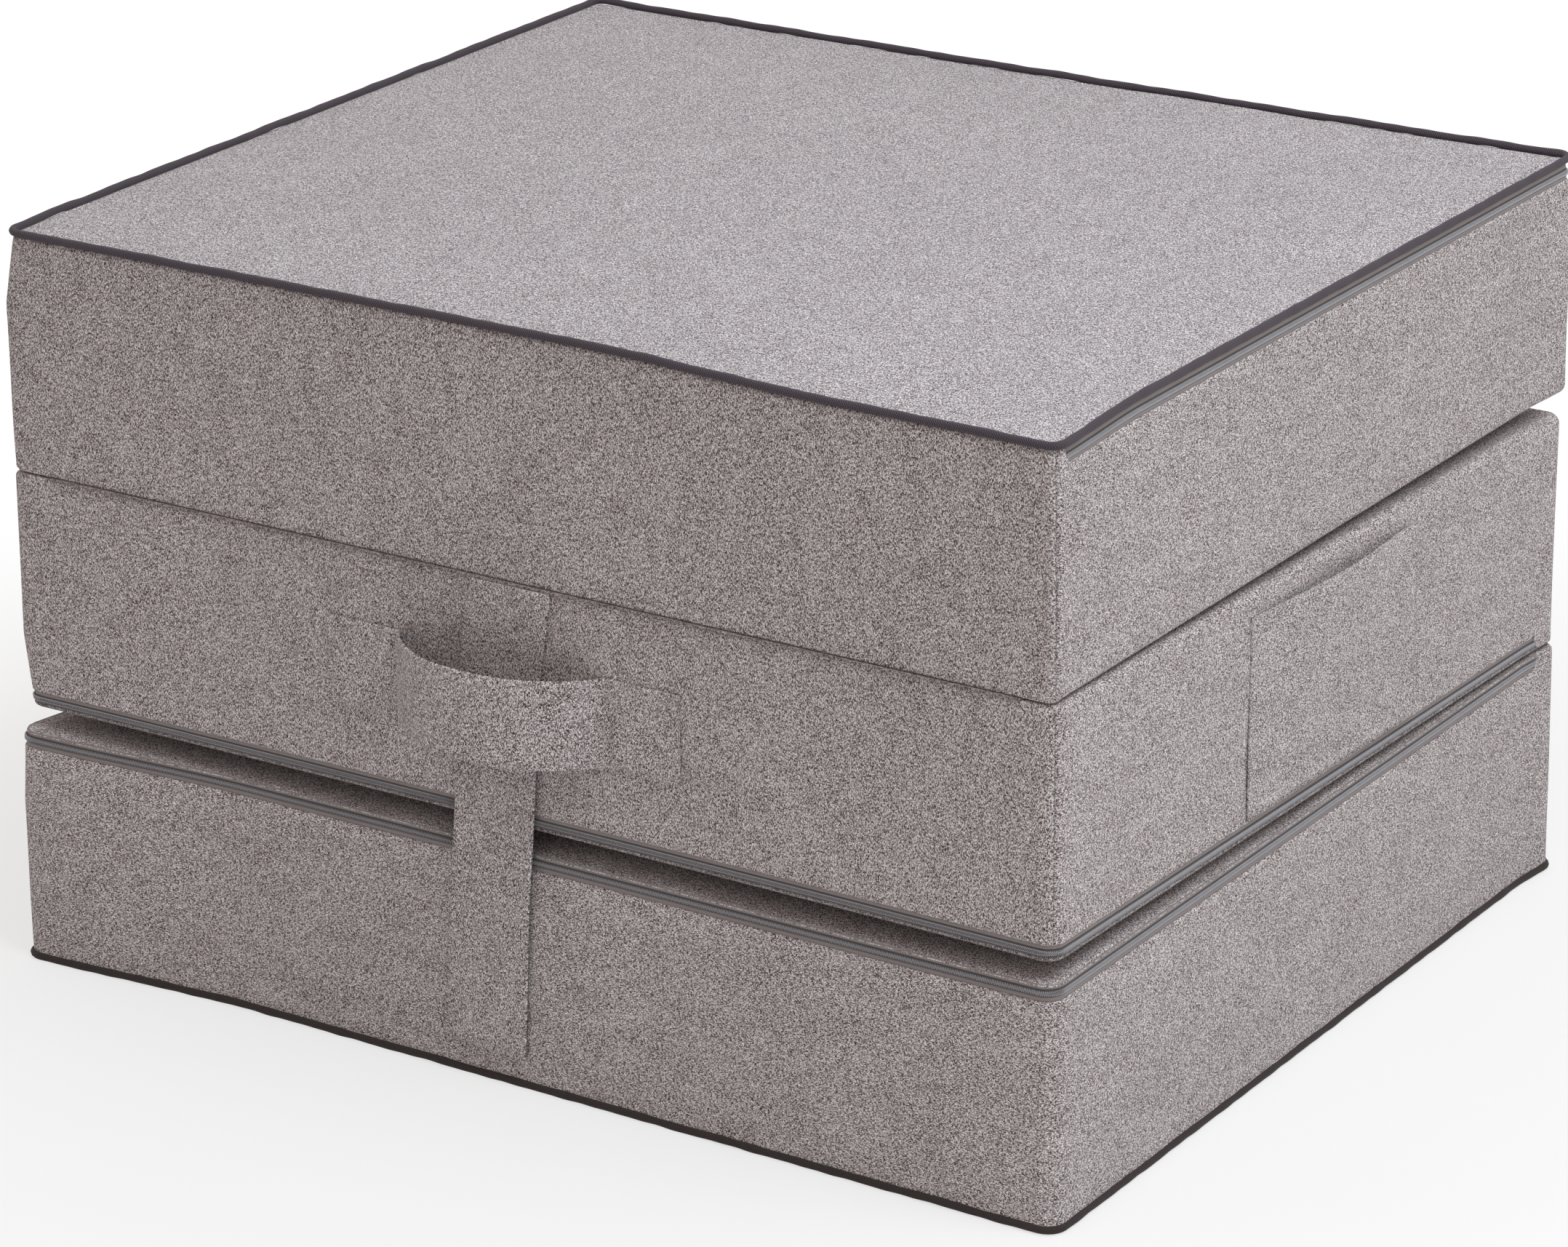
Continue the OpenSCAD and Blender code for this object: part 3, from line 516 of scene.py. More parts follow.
def set_camera():
    """The photograph's camera: right, up and back make the columns of its turn."""
    a, e, r = map(math.radians, (CAMERA_AZIMUTH, CAMERA_ELEVATION, CAMERA_ROLL))
    back = Vector((math.sin(a) * math.cos(e), -math.cos(a) * math.cos(e), math.sin(e)))
    right = (-back).cross(Vector((0, 0, 1))).normalized()
    up = right.cross(-back)
    right, up = right * math.cos(r) + up * math.sin(r), up * math.cos(r) - right * math.sin(r)
    data = bpy.data.cameras.new("camera")
    data.lens, data.sensor_width, data.shift_y = CAMERA_LENS_MM, 36, CAMERA_SHIFT
    data.clip_start, data.clip_end = 0.05, 60
    camera = bpy.data.objects.new("camera", data)
    turn = Matrix((right, up, back)).transposed().to_4x4()
    camera.matrix_world = Matrix.Translation(CAMERA_PLACE) @ turn
    bpy.context.scene.collection.objects.link(camera)
    bpy.context.scene.camera = camera


FLOOR_HALF, FLOOR_LINES = 9.0, 9
FLOOR_NEAR = 0.62
FADE_FROM, FADE_TO = 0.55, 1.15
SKY_LOW, SKY_HIGH = 0.227, 0.70
SKY_TINT = (1.0, 0.922, 0.888, 1)
LAMP_FROM = (0.42, -0.08, 0.60)
LAMP_DISTANCE, LAMP_SIZE = 3.2, 1.8
LAMP_POWER = 52
LAMP_TINT = (0.955, 1.045, 1.11)


def set_floor():
    """A flat pale floor that keeps the object's shadow. A camera ray sees it paler than
    it lights the object, and quite white away from the object."""
    material, tree, shader = surface("pale floor", roughness=0.9, specular_ior_level=0.0)
    where = add(tree, "ShaderNodeTexCoord").outputs["Object"]
    grain = noise(tree, where, 3, 2)["Fac"]
    tree.links.new(blended(tree, grain, (0.83, 0.83, 0.83, 1), (0.86, 0.86, 0.86, 1)),
                   shader["Base Color"])
    away = add(tree, "ShaderNodeVectorMath", {0: where}, operation="LENGTH").outputs["Value"]
    fade = add(tree, "ShaderNodeMapRange", {
        "Value": away, "From Min": FADE_FROM, "From Max": FADE_TO,
        "To Min": FLOOR_NEAR, "To Max": 1.0},
        interpolation_type="SMOOTHSTEP").outputs[0]
    seen = add(tree, "ShaderNodeLightPath").outputs["Is Camera Ray"]
    white = add(tree, "ShaderNodeEmission", {"Color": (1, 1, 1, 1), "Strength": 1.02})
    mix = add(tree, "ShaderNodeMixShader", {0: maths(tree, "MULTIPLY", fade, seen)})
    principled = tree.nodes["Principled BSDF"]
    tree.links.new(principled.outputs[0], mix.inputs[1])
    tree.links.new(white.outputs[0], mix.inputs[2])
    tree.links.new(mix.outputs[0], tree.nodes["Material Output"].inputs[0])
    steps = np.linspace(-FLOOR_HALF, FLOOR_HALF, FLOOR_LINES)
    x, y = np.meshgrid(steps, steps, indexing="ij")
    points = np.stack([x, y, 0 * x], -1).reshape(-1, 3)
    floor = piece("floor", points, grid_quads(FLOOR_LINES, FLOOR_LINES), None, material, None)


def set_light():
    """Soft white surroundings, and one wide lamp from behind the right-hand side."""
    world = bpy.data.worlds.new("surroundings")
    world.use_nodes = True
    bpy.context.scene.world = world
    tree = world.node_tree
    tree.nodes.clear()
    path = add(tree, "ShaderNodeLightPath").outputs
    plain = maths(tree, "MAXIMUM", path["Is Camera Ray"],
                  maths(tree, "MAXIMUM", path["Is Glossy Ray"], path["Is Transmission Ray"]))
    height = add(tree, "ShaderNodeSeparateXYZ", {
        0: add(tree, "ShaderNodeTexCoord").outputs["Generated"]}).outputs[2]
    sky = add(tree, "ShaderNodeMapRange", {
        "Value": height, "From Min": 0.0, "From Max": 0.7, "To Min": SKY_LOW, "To Max": SKY_HIGH})
    strength = mixed(tree, plain, sky.outputs[0], 1.0)
    tint = blended(tree, plain, SKY_TINT, (1, 1, 1, 1))
    light = add(tree, "ShaderNodeBackground", {"Color": tint, "Strength": strength})
    out = add(tree, "ShaderNodeOutputWorld")
    tree.links.new(light.outputs[0], out.inputs[0])
    data = bpy.data.lights.new("wide lamp", "AREA")
    data.shape, data.size = "SQUARE", LAMP_SIZE
    data.energy, data.color = LAMP_POWER, LAMP_TINT
    lamp = bpy.data.objects.new("wide lamp", data)
    toward = Vector(LAMP_FROM).normalized()
    lamp.location = toward * LAMP_DISTANCE + Vector((0, 0, BLOCK_T * 1.5))
    lamp.rotation_mode = "QUATERNION"
    lamp.rotation_quaternion = toward.to_track_quat("Z", "Y")
    bpy.context.scene.collection.objects.link(lamp)


bpy.context.scene.view_settings.view_transform = "Standard"
set_camera()
set_floor()
set_light()


# Blocks

# What differs from block to block. Lengths without MM are in millimetres, and lists are
# for the sides [+X, +Y, -X, -Y].
# foot_edge and face_edge: radii of the edges. pull_foot and pull_face: how far the sides
# are drawn in. crown and foot_crown: how high the faces stand. rise and droop: see lifted.
# swell: the most that the settled cloth may move.
# spread: for a corner's side of X and Y, how far it stands out in x and in y, and its
# shares low down and at the face. room: how far the walls on the -Y and +Y sides may
# stand out, which is little where another block folds against them.
# band: upper edge, slit and lower edge of the zip band, as distances from the zip-off
# face. zip_end: how far from the sewn side the zip ends. sewn_corners: the side of Y
# that has sewn corners, or 0. lip_painted_shade: how dark the painted shade on the face's
# lip is, where the middle block's lip faces down into the gap above the bottom block
PULL_WAIST = [1.5, 0, 1.5, 0]
FORMS = {
    "top": {
        "body": "top_block", "place": IN_TOP, "corner": 8 * MM,
        "foot_edge": [7, 7, 7, 1.6], "face_edge": 3.5,
        "pull_foot": [0, 3, 0, 0], "pull_face": [0, 3, 0, 3],
        "spread": {(-1, -1): (9, 0.1, 1, -0.2), (1, 1): (3, 2, 1, 0)}, "room": (0.1, 8),
        "crown": 3.5, "foot_crown": 0.5, "swell": 6.5, "band": (1.4, 7.9, 13.0),
        "sewn_corners": -1, "rise": 0, "droop": 4.5, "zip_end": 11 * MM,
        "face_cloth": TOP_CLOTH, "face_slot": "top_cloth", "lip_painted_shade": 0},
    "middle": {
        "body": "middle_block", "place": IN_MIDDLE_TURNED, "corner": 12 * MM,
        "foot_edge": [7, 1.6, 7, 7], "face_edge": 2.5,
        "pull_foot": [0, 0, 0, 3], "pull_face": [0, 3, 0, 0],
        "spread": {(-1, 1): (12, 0.4, 1, 0.45), (1, -1): (2, 0.3, 1, 1)}, "room": (1.2, 1.2),
        "crown": 1.5, "foot_crown": 0.5, "swell": 3.5, "band": (2.8, 5.7, 10.8),
        "sewn_corners": 1, "rise": 0, "droop": 0, "zip_end": 30 * MM,
        "face_cloth": SIDE_CLOTH, "face_slot": "side_cloth", "lip_painted_shade": 1},
    "bottom": {
        "body": "bottom_block", "place": IN_BOTTOM, "corner": 13 * MM,
        "foot_edge": [6, 6, 6, 6], "face_edge": 2.5,
        "pull_foot": [0, 0, 0, 3], "pull_face": [0, 3, 0, 0],
        "spread": {(1, 1): (11, 12, 1, 0.75), (-1, -1): (4, 0.3, 1, 1)}, "room": (1.2, 20),
        "crown": 1.5, "foot_crown": 0, "swell": 5.5, "band": (1.0, 5.2, 10.8),
        "sewn_corners": 0, "rise": 1.5, "droop": 0, "zip_end": 30 * MM,
        "face_cloth": SIDE_CLOTH, "face_slot": "side_cloth", "lip_painted_shade": 0},
}

# Shares of half a corner's arc where grid lines run, close together at the sewn corner
FINE_ARC = np.array([0.2, 0.4, 0.58, 0.72, 0.83, 0.9, 0.94, 0.97, 1])
PLAIN_ARC = np.array([0.5, 1])
FINE_CELL = 6.5 * MM
PLAIN_CELL = 21 * MM


def cross_lines(half, corner, cell, arc, extra=()):
    """Grid lines across a block: even over the middle, and at shares of the arc over the
    corners, where a line at share t lies at sqrt(2) sin(45 deg t) of the radius."""
    count = int(round(2 * (half - corner) / cell))
    middle = np.linspace(corner - half, half - corner, count + 1)
    end = half - corner + corner * math.sqrt(2) * np.sin(math.pi / 4 * arc)
    return np.unique(np.round(np.concatenate([-end, middle, extra, end]), 8))


def by_side(values, heading):
    """Values for headings 0, 90, 180 and 270 degrees, blended between them."""
    steps = np.array([0, 90, 180, 270, 360])
    return np.interp(np.degrees(heading) % 360, steps, list(values) + [values[0]])


class Grid:
    """A block's grid of lines, seen from above, with its corners bent round."""

    def __init__(self, form, cell, arc, extra_y=()):
        self.form, self.corner = form, form["corner"]
        self.xs = cross_lines(HALF_L, self.corner, cell, arc)
        self.ys = cross_lines(HALF_W, self.corner, cell, arc, extra_y)
        x, y = np.meshgrid(self.xs, self.ys, indexing="ij")
        a = np.clip((abs(x) - HALF_L + self.corner) / self.corner, 0, 1)
        b = np.clip((abs(y) - HALF_W + self.corner) / self.corner, 0, 1)
        self.out_x = np.sign(x) * a * np.sqrt(1 - b * b / 2)
        self.out_y = np.sign(y) * b * np.sqrt(1 - a * a / 2)
        self.heading = np.arctan2(self.out_y, self.out_x)
        self.mid_x = np.where(a > 0, np.sign(x) * (HALF_L - self.corner), x)
        self.mid_y = np.where(b > 0, np.sign(y) * (HALF_W - self.corner), y)
        self.rim = rim_of(*x.shape)

    def flat(self, inset):
        """x and y of the whole grid, drawn in from the outline by inset at its rim."""
        reach = self.corner - inset
        return self.mid_x + reach * self.out_x, self.mid_y + reach * self.out_y

    def ring(self):
        """x, y and heading of the outline, anticlockwise from its -X -Y corner, and the
        distance run from there, with the way back to the start as its last entry."""
        x, y = (v[self.rim] for v in self.flat(0))
        step = np.hypot(np.diff(x, append=x[0]), np.diff(y, append=y[0]))
        return x, y, self.heading[self.rim], np.concatenate([[0], np.cumsum(step)])


# How far from a corner the cloth still spreads under the weight above, along each side
CORNER_REACH_X, CORNER_REACH_Y = 0.18, 0.052
CORNER_DROP = 0.05
DROOP_FROM, DROOP_LENGTH, DROOP_DEPTH = 0.06, 0.18, 0.10


def ease(t):
    """Smoothstep of a share: t^2 (3 - 2 t)."""
    return t ** 2 * (3 - 2 * t)


def smooth(share):
    """Smoothstep of a share that is first kept between 0 and 1."""
    return ease(np.clip(share, 0, 1))


def pulled(form, x, y, z):
    """Moves points in where the cover pulls the long sides in, most at their middles, and
    out by the corners that spread, as smoothstep(x) smoothstep(y) of the nearness."""
    h = np.clip(z / BLOCK_T, 0, 1)
    corner = form["corner"]
    bow_x = np.clip(1 - (y / (HALF_W - corner)) ** 2, 0, None) * (abs(x) / HALF_L) ** 4
    bow_y = np.clip(1 - (x / (HALF_L - corner)) ** 2, 0, None) * (abs(y) / HALF_W) ** 4

    def pull(side):
        foot, face = form["pull_foot"][side] * MM, form["pull_face"][side] * MM
        waist = PULL_WAIST[side] * MM
        return foot * (1 - h) + face * h + waist * (4 * h * (1 - h)) ** 2

    x = x - np.where(x > 0, pull(0), -pull(2)) * bow_x
    y = y - np.where(y > 0, pull(1), -pull(3)) * bow_y
    for (side_x, side_y), (far_x, far_y, low, high) in form["spread"].items():
        near_x = np.clip((side_x * x - HALF_L) / CORNER_REACH_X + 1, 0, 1.1)
        near_y = np.clip((side_y * y - HALF_W) / CORNER_REACH_Y + 1, 0, 1.1)
        share = ease(near_x) * ease(near_y)
        share = share * (low + (high - low) * np.clip((z - BLOCK_T) / CORNER_DROP + 1, 0, 1))
        x, y = x + side_x * far_x * MM * share, y + side_y * far_y * MM * share
    return x, y


def crown(x, y, rise):
    """Height of a crowned face: rise (1 - |x / half|^3) (1 - |y / half|^3)."""
    share_x, share_y = np.clip(abs(x) / HALF_L, 0, 1), np.clip(abs(y) / HALF_W, 0, 1)
    return rise * (1 - share_x ** 3) * (1 - share_y ** 3)


def lifted(form, x, y, z):
    """How far a cover stands higher towards its ends, as rise (x / half)^4 (z / height)^2,
    less its droop by the +X -Y corner, as smoothstep(x) smoothstep(y) (z / height)^2."""
    near_x = smooth((x - DROOP_FROM) / DROOP_LENGTH)
    near_y = smooth((-y - HALF_W) / DROOP_DEPTH + 1)
    rise = form["rise"] * MM * (x / HALF_L) ** 4 - form["droop"] * MM * near_x * near_y
    return rise * np.clip(z / BLOCK_T, 0, 1) ** 2


def face_points(grid, level):
    """A flat face's grid, crowned outwards: the foot at level 0 and the face at level 1."""
    form = grid.form
    edge = form["face_edge"] if level else by_side(form["foot_edge"], grid.heading)
    x, y = grid.flat(edge * MM)
    rise = form["crown" if level else "foot_crown"] * MM
    z = BLOCK_T * level + (2 * level - 1) * crown(x, y, rise)
    z = z + lifted(form, x, y, z)
    x, y = pulled(form, x, y, np.full_like(x, BLOCK_T * level))
    return np.stack([x, y, z], -1)


def swept(form, path, out, z):
    """Carries a section along an outline, whose points have x, y, heading and run. out and
    z have one row for each point of the section and one column for each point of the path,
    or are plain numbers there."""
    x, y, heading, _ = path
    px = x + out * np.cos(heading)
    py = y + out * np.sin(heading)
    pz = z + 0 * px
    pz = pz + lifted(form, px, py, pz)
    px, py = pulled(form, px, py, pz)
    return np.stack([px, py, pz], -1)


def wall_points(grid, run, depth):
    """Points of the wall and the upper edge's roll. run is the distance along the
    surface, 0 where the roll starts, negative down the wall, and depth is how far in."""
    edge = grid.form["face_edge"] * MM
    angle = np.clip(run, 0, None) / edge
    inset = edge * (1 - np.cos(angle)) + depth * np.cos(angle)
    z = BLOCK_T - edge + np.minimum(run, 0) + edge * np.sin(angle) - depth * np.sin(angle)
    return swept(grid.form, grid.ring(), -inset, z)


def foot_points(grid, angles):
    """The roll of the foot edge, from the foot face up to the wall."""
    form = grid.form
    x, y, heading, _ = grid.ring()
    edge = by_side(form["foot_edge"], heading) * MM
    a = np.asarray(angles)[:, None]
    inset, z = edge * (1 - np.sin(a)), edge * (1 - np.cos(a))
    px = x - inset * np.cos(heading)
    py = y - inset * np.sin(heading)
    px, py = pulled(form, px, py, z)
    return np.stack([px, py, z], -1)


def wall_foot(grid):
    """Run at which the wall meets the foot edge's roll."""
    form = grid.form
    return (by_side(form["foot_edge"], grid.ring()[2]) + form["face_edge"]) * MM - BLOCK_T


def zip_share(grid):
    """1 along the zip and 0 along the sewn side, for each point of the ring."""
    y = grid.ring()[1]
    return np.clip((y + HALF_W - grid.form["zip_end"]) / (6 * MM) + 0.5, 0, 1)


# Angles on the roll where the wall's cloth ends and the face's starts along the sewn side
SEWN_LOW, SEWN_HIGH = 42, 46


def rim_run(grid, low):
    """Run at which the wall's cloth ends (low) or the face's cloth starts: at the band
    beside the zip, and under the piping along the sewn side. A distance d from the face
    is at run edge - d on the wall, and at edge asin(1 - d / edge) on the roll."""
    form, share = grid.form, zip_share(grid)
    edge = form["face_edge"] * MM
    down = form["band"][2 if low else 0] * MM
    beside = edge - down if down > edge else edge * math.asin(1 - down / edge)
    sewn = edge * math.radians(SEWN_LOW if low else SEWN_HIGH)
    return beside * share + sewn * (1 - share)


# Simulated cloth

SETTLE_STEPS = 24


def settled(form):
    """Runs a coarse cover as cloth, held at its seams and blown up a little by the foam,
    and returns how far its foot, wall and face grids move."""
    grid = Grid(form, PLAIN_CELL, PLAIN_ARC)
    foot, face = face_points(grid, 0), face_points(grid, 1)
    wall = wall_points(grid, wall_foot(grid) * (1 - np.linspace(0, 1, 9)[:, None]), 0)
    roll = foot_points(grid, np.radians([0, 45]))
    upper = wall_points(grid, form["face_edge"] * MM * np.radians([[45], [90]]), 0)
    band = np.concatenate([roll, wall, upper])
    band[0], band[-1] = foot[grid.rim], face[grid.rim]
    n, m = foot.shape[:2]
    rows, cols = band.shape[:2]
    shared, quads, number = boxed(foot, band, face)
    wall_end = n * m + rows * cols
    held = np.zeros(len(number), bool)
    ring_corner = (abs(grid.out_x[grid.rim]) > 0.01) & (
        grid.out_y[grid.rim] * form["sewn_corners"] > 0.01)
    band_held = np.zeros((rows, cols), bool)
    band_held[[0, 1, 2, -3, -2, -1]] = True
    band_held[:, ring_corner] = True
    held[n * m:wall_end] = band_held.ravel()
    cover = piece("settling cover", shared, quads, None, SIDE_CLOTH, None)
    pins = cover.vertex_groups.new(name="seams")
    pins.add([int(i) for i in np.unique(number[held])], 1, "REPLACE")
    cloth = cover.modifiers.new("cloth", "CLOTH").settings
    cloth.quality, cloth.mass, cloth.air_damping = 5, 0.3, 3
    cloth.tension_stiffness = cloth.compression_stiffness = 12
    cloth.bending_stiffness = 0.8
    cloth.use_pressure, cloth.uniform_pressure_force = True, 0.3
    cloth.effector_weights.gravity = 0
    cloth.vertex_group_mass = "seams"
    scene = bpy.context.scene
    for step in range(1, SETTLE_STEPS + 1):
        scene.frame_set(step)
    shown = cover.evaluated_get(bpy.context.evaluated_depsgraph_get())
    after = np.zeros(3 * len(shared))
    shown.data.vertices.foreach_get("co", after)
    shift = after.reshape(-1, 3) - shared
    longest = np.sqrt((shift ** 2).sum(1).max())
    print("settled", form["body"], "longest shift mm", round(longest / MM, 2))
    shift *= min(1, form["swell"] * MM / max(longest, 1e-9))
    bpy.data.objects.remove(cover)
    scene.frame_set(1)
    shift = shift[number]
    return {
        "grid": grid, "foot": shift[:n * m].reshape(n, m, 3),
        "wall": shift[n * m:wall_end].reshape(rows, cols, 3)[2:-2],
        "face": shift[wall_end:].reshape(n, m, 3)}


def between(old, new, period=None):
    """Matrix that carries values at old places to new places along straight lines."""
    return np.stack([np.interp(new, old, row, period=period) for row in np.eye(len(old))], 1)


def smoothed(field, passes, closed=False):
    """Averages a field with its neighbours, (1, 2, 1) / 4 each way, keeping open edges."""
    for _ in range(passes):
        inner = (field[:-2] + 2 * field[1:-1] + field[2:]) / 4
        field = np.concatenate([field[:1], inner, field[-1:]])
        if closed:
            field = (np.roll(field, 1, 1) + 2 * field + np.roll(field, -1, 1)) / 4
        else:
            inner = (field[:, :-2] + 2 * field[:, 1:-1] + field[:, 2:]) / 4
            field = np.concatenate([field[:, :1], inner, field[:, -1:]], 1)
    return field


def face_shift(result, grid, key):
    """The settled shift of a face, on a finer grid."""
    over_x, over_y = between(result["grid"].xs, grid.xs), between(result["grid"].ys, grid.ys)
    field = np.einsum("ai,ijk,bj->abk", over_x, result[key], over_y)
    return smoothed(field, 4)


def wall_shift(result, grid, shares):
    """The settled shift of the wall at shares of its height, on a finer ring."""
    coarse, fine = result["grid"].ring()[3], grid.ring()[3]
    length = coarse[-1]
    along = between(coarse[:-1] / length, fine[:-1] / fine[-1], period=1)
    up = between(np.linspace(0, 1, len(result["wall"])), shares)
    field = np.einsum("ri,ijk,cj->rck", up, result["wall"], along)
    return smoothed(field, 3, closed=True)


def slack(points, seed, depth, shortest, longest):
    """Soft unevenness of a padded surface: a sum of plane sine waves through space."""
    rng = np.random.default_rng(seed)
    total = np.zeros(points.shape[:-1])
    waves = 14
    for _ in range(waves):
        way = rng.normal(size=3)
        way /= np.linalg.norm(way)
        length = shortest * (longest / shortest) ** rng.random()
        total += np.sin(points @ way * 2 * math.pi / length + rng.random() * 2 * math.pi)
    return total * depth / math.sqrt(waves)


WALL_SHARES = 1 - (1 - np.linspace(0, 1, 27)) ** 1.15
FOLD, TUCK = 0.9 * MM, 1.7 * MM
FACE_SLACK = 0.5 * MM, 60 * MM, 260 * MM
WALL_SLACK = 0.55 * MM, 70 * MM, 300 * MM
GROOVE_DEPTH, GROOVE_HALF, SEAM_HALF = 0.7 * MM, 0.9 * MM, 0.45 * MM
FOLD_ANGLES = np.radians([35, 65, 90])[:, None]


def cover_parts(name, form):
    """Grids of a block's cover: its foot face, wall, and zip-off face."""
    zip_lines = form["zip_end"] - HALF_W + np.arange(-3, 4) * MM
    grid = Grid(form, FINE_CELL, FINE_ARC, zip_lines)
    result = settled(form)
    _, y, heading, run = grid.ring()
    seed = sum(map(ord, name))

    # Faces
    foot, face = face_points(grid, 0), face_points(grid, 1)
    if result:
        foot = foot + face_shift(result, grid, "foot") * (0.15 if form["foot_crown"] else 0)
        face = face + face_shift(result, grid, "face")
    calm = np.ones(foot.shape[:2])
    calm[[0, -1]] = calm[:, [0, -1]] = 0
    calm = smoothed(calm, 3)
    face[..., 2] += slack(face, seed, *FACE_SLACK) * calm

    # Wall, up to the rim of the cloth, then folded in over the tape
    low, high = wall_foot(grid), rim_run(grid, True)
    shares = WALL_SHARES[:, None]
    along = low + (high - FOLD - low) * shares
    wall = wall_points(grid, along, 0)
    if result:
        level = np.clip((along - low) / -low, 0, 1).mean(1)
        wall = wall + wall_shift(result, grid, level)
    hold = np.sin(np.pi * np.clip((along - low) / (high - low), 0, 1)) ** 0.6
    push = slack(wall, seed + 1, *WALL_SLACK) * hold
    seam = np.zeros_like(push)
    if form["sewn_corners"]:
        out_x, out_y = abs(grid.out_x[grid.rim]), abs(grid.out_y[grid.rim])
        sewn = (y * form["sewn_corners"] > 0) & (out_x > 0.01) & (out_y > 0.01)
        off = np.where(sewn, abs(out_x - math.sqrt(0.5)) * grid.corner * 1.3, 1)
        push -= GROOVE_DEPTH * np.exp(-(off / GROOVE_HALF) ** 2)
        seam += np.exp(-(off / SEAM_HALF) ** 2)
    wall[..., 0] += push * np.cos(heading)
    wall[..., 1] += push * np.sin(heading)
    room = np.array(form["room"]) * MM
    wall[..., 1] = np.clip(wall[..., 1], -HALF_W - room[0], HALF_W + room[1])
    fold = FOLD_ANGLES
    rim = wall_points(grid, high - FOLD + FOLD * np.sin(fold), FOLD * (1 - np.cos(fold)))
    tuck = wall_points(grid, high[None, :], TUCK)
    edge = foot_points(grid, np.radians(np.linspace(0, 90, 7)[:-1]))
    body = np.concatenate([edge, wall, rim, tuck])
    body[len(edge)] = wall[0]

    # The face's own lip, from the fold over the tape up to the roll's end
    start = rim_run(grid, False)
    end = form["face_edge"] * MM * math.pi / 2
    under = wall_points(grid, start[None, :], TUCK)
    fold = FOLD_ANGLES[::-1]
    turn = wall_points(grid, start + FOLD - FOLD * np.sin(fold), FOLD * (1 - np.cos(fold)))
    shares = np.linspace(0, 1, 10)[:, None]
    lip = wall_points(grid, start + FOLD + (end - start - FOLD) * shares, 0)
    lip[-1] = face[grid.rim]
    lid = np.concatenate([under, turn, lip])
    return grid, foot, body, lid, face, run, seam, len(edge)


def wall_mapped(form, grid, run, points):
    """A wall strip mapped by the run round the block and the height. The strips beside the
    sewn corners are cut the other way of the cloth."""
    steps = np.linalg.norm(np.diff(points, axis=0, prepend=points[:1]), axis=-1)
    height, = closed_map(np.cumsum(steps, axis=0))
    flat, quads, plain = mapped(points, np.broadcast_to(run, height.shape), height, True)
    uv = plain[..., ::-1] + [3.1, 0]
    if form["sewn_corners"]:
        heading = grid.ring()[2]
        ahead = (np.degrees(heading) - 90 * form["sewn_corners"] + 180) % 360 - 180
        front = (abs(ahead) <= 45.01) & (abs(np.roll(ahead, -1)) <= 45.01)
        pick = np.tile(front, len(points) - 1)
        uv = np.where(pick[:, None, None], plain, uv)
    return flat, quads, uv


def make_cover(name, form):
    """A block's cover, as the body and the zip-off face."""
    grid, foot, body, lid, face, run, seam, edge_rows = cover_parts(name, form)
    marks = np.zeros(body.shape[:2])
    marks[edge_rows:edge_rows + len(seam)] = seam
    plain = np.zeros(foot.shape[:2])
    # Painted shade on the zip-off face's lip, as dark as the form's lip value; the face's outer
    # row of points shares it.
    lip = np.full(lid.shape[:2], form["lip_painted_shade"])
    cover = joined((*mapped(foot, foot[..., 0], foot[..., 1], True), plain),
                   (*wall_mapped(form, grid, run, body), marks))
    top = joined((*mapped(face, face[..., 0], face[..., 1]), plain),
                 (*wall_mapped(form, grid, run, lid), lip))
    for (points, quads, uv, seam_and_painted_shade), word, node, cloth, slot in (
            (cover, "_cover", "_cover_body", SIDE_CLOTH, "side_cloth"),
            (top, "_zip_off_face", "_cover_lid", form["face_cloth"], form["face_slot"])):
        part = piece(name + word, put(points, form["place"]), quads, uv, cloth, form["body"],
                     [name + node], slot, seam_and_painted_shade)


# Sweeps along the outline

def outline_path(form, step, start=None, end=None):
    """Points of a block's outline at even steps, as x, y, heading and run. It starts at
    the sewn side's middle and goes round anticlockwise. start and end cut it to the zip."""
    corner = form["corner"]
    straight_x, straight_y = HALF_L - corner, HALF_W - corner
    arc = math.pi / 2 * corner
    lengths = np.array([straight_x, arc, 2 * straight_y, arc, 2 * straight_x, arc,
                        2 * straight_y, arc, straight_x])
    ends = np.cumsum(lengths)
    first, last = (0, ends[-1]) if start is None else (start, end)
    count = int(round((last - first) / step))
    run = np.linspace(first, last, count + 1)
    if start is None:
        run = run[:-1]
    leg = np.searchsorted(ends, run, side="right").clip(0, 8)
    past = run - (ends - lengths)[leg]
    centres = np.array([(1, -1), (1, -1), (1, 1), (1, 1), (-1, 1), (-1, 1), (-1, -1), (-1, -1),
                        (-1, -1)])[leg] * [straight_x, straight_y]
    heading = np.radians(np.array([-90, -90, 0, 0, 90, 90, 180, 180, 270])[leg])
    bend = np.isin(leg, (1, 3, 5, 7))
    heading = heading + np.where(bend, past / corner, 0)
    x = centres[:, 0] + corner * np.cos(heading)
    y = centres[:, 1] + corner * np.sin(heading)
    x = np.select([leg == 0, leg == 4, leg == 8], [past, straight_x - past, past - straight_x], x)
    y = np.select([leg == 2, leg == 6], [past - straight_y, straight_y - past], y)
    return x, y, heading, run


def round_length(corner):
    """Length of a block's outline."""
    return 4 * (HALF_L + HALF_W - 2 * corner) + 2 * math.pi * corner


def zip_run(form):
    """Where the zip starts and ends, as runs of the outline path."""
    corner = form["corner"]
    start = HALF_L - corner + math.pi / 2 * corner + form["zip_end"] - corner
    return start, round_length(corner) - start


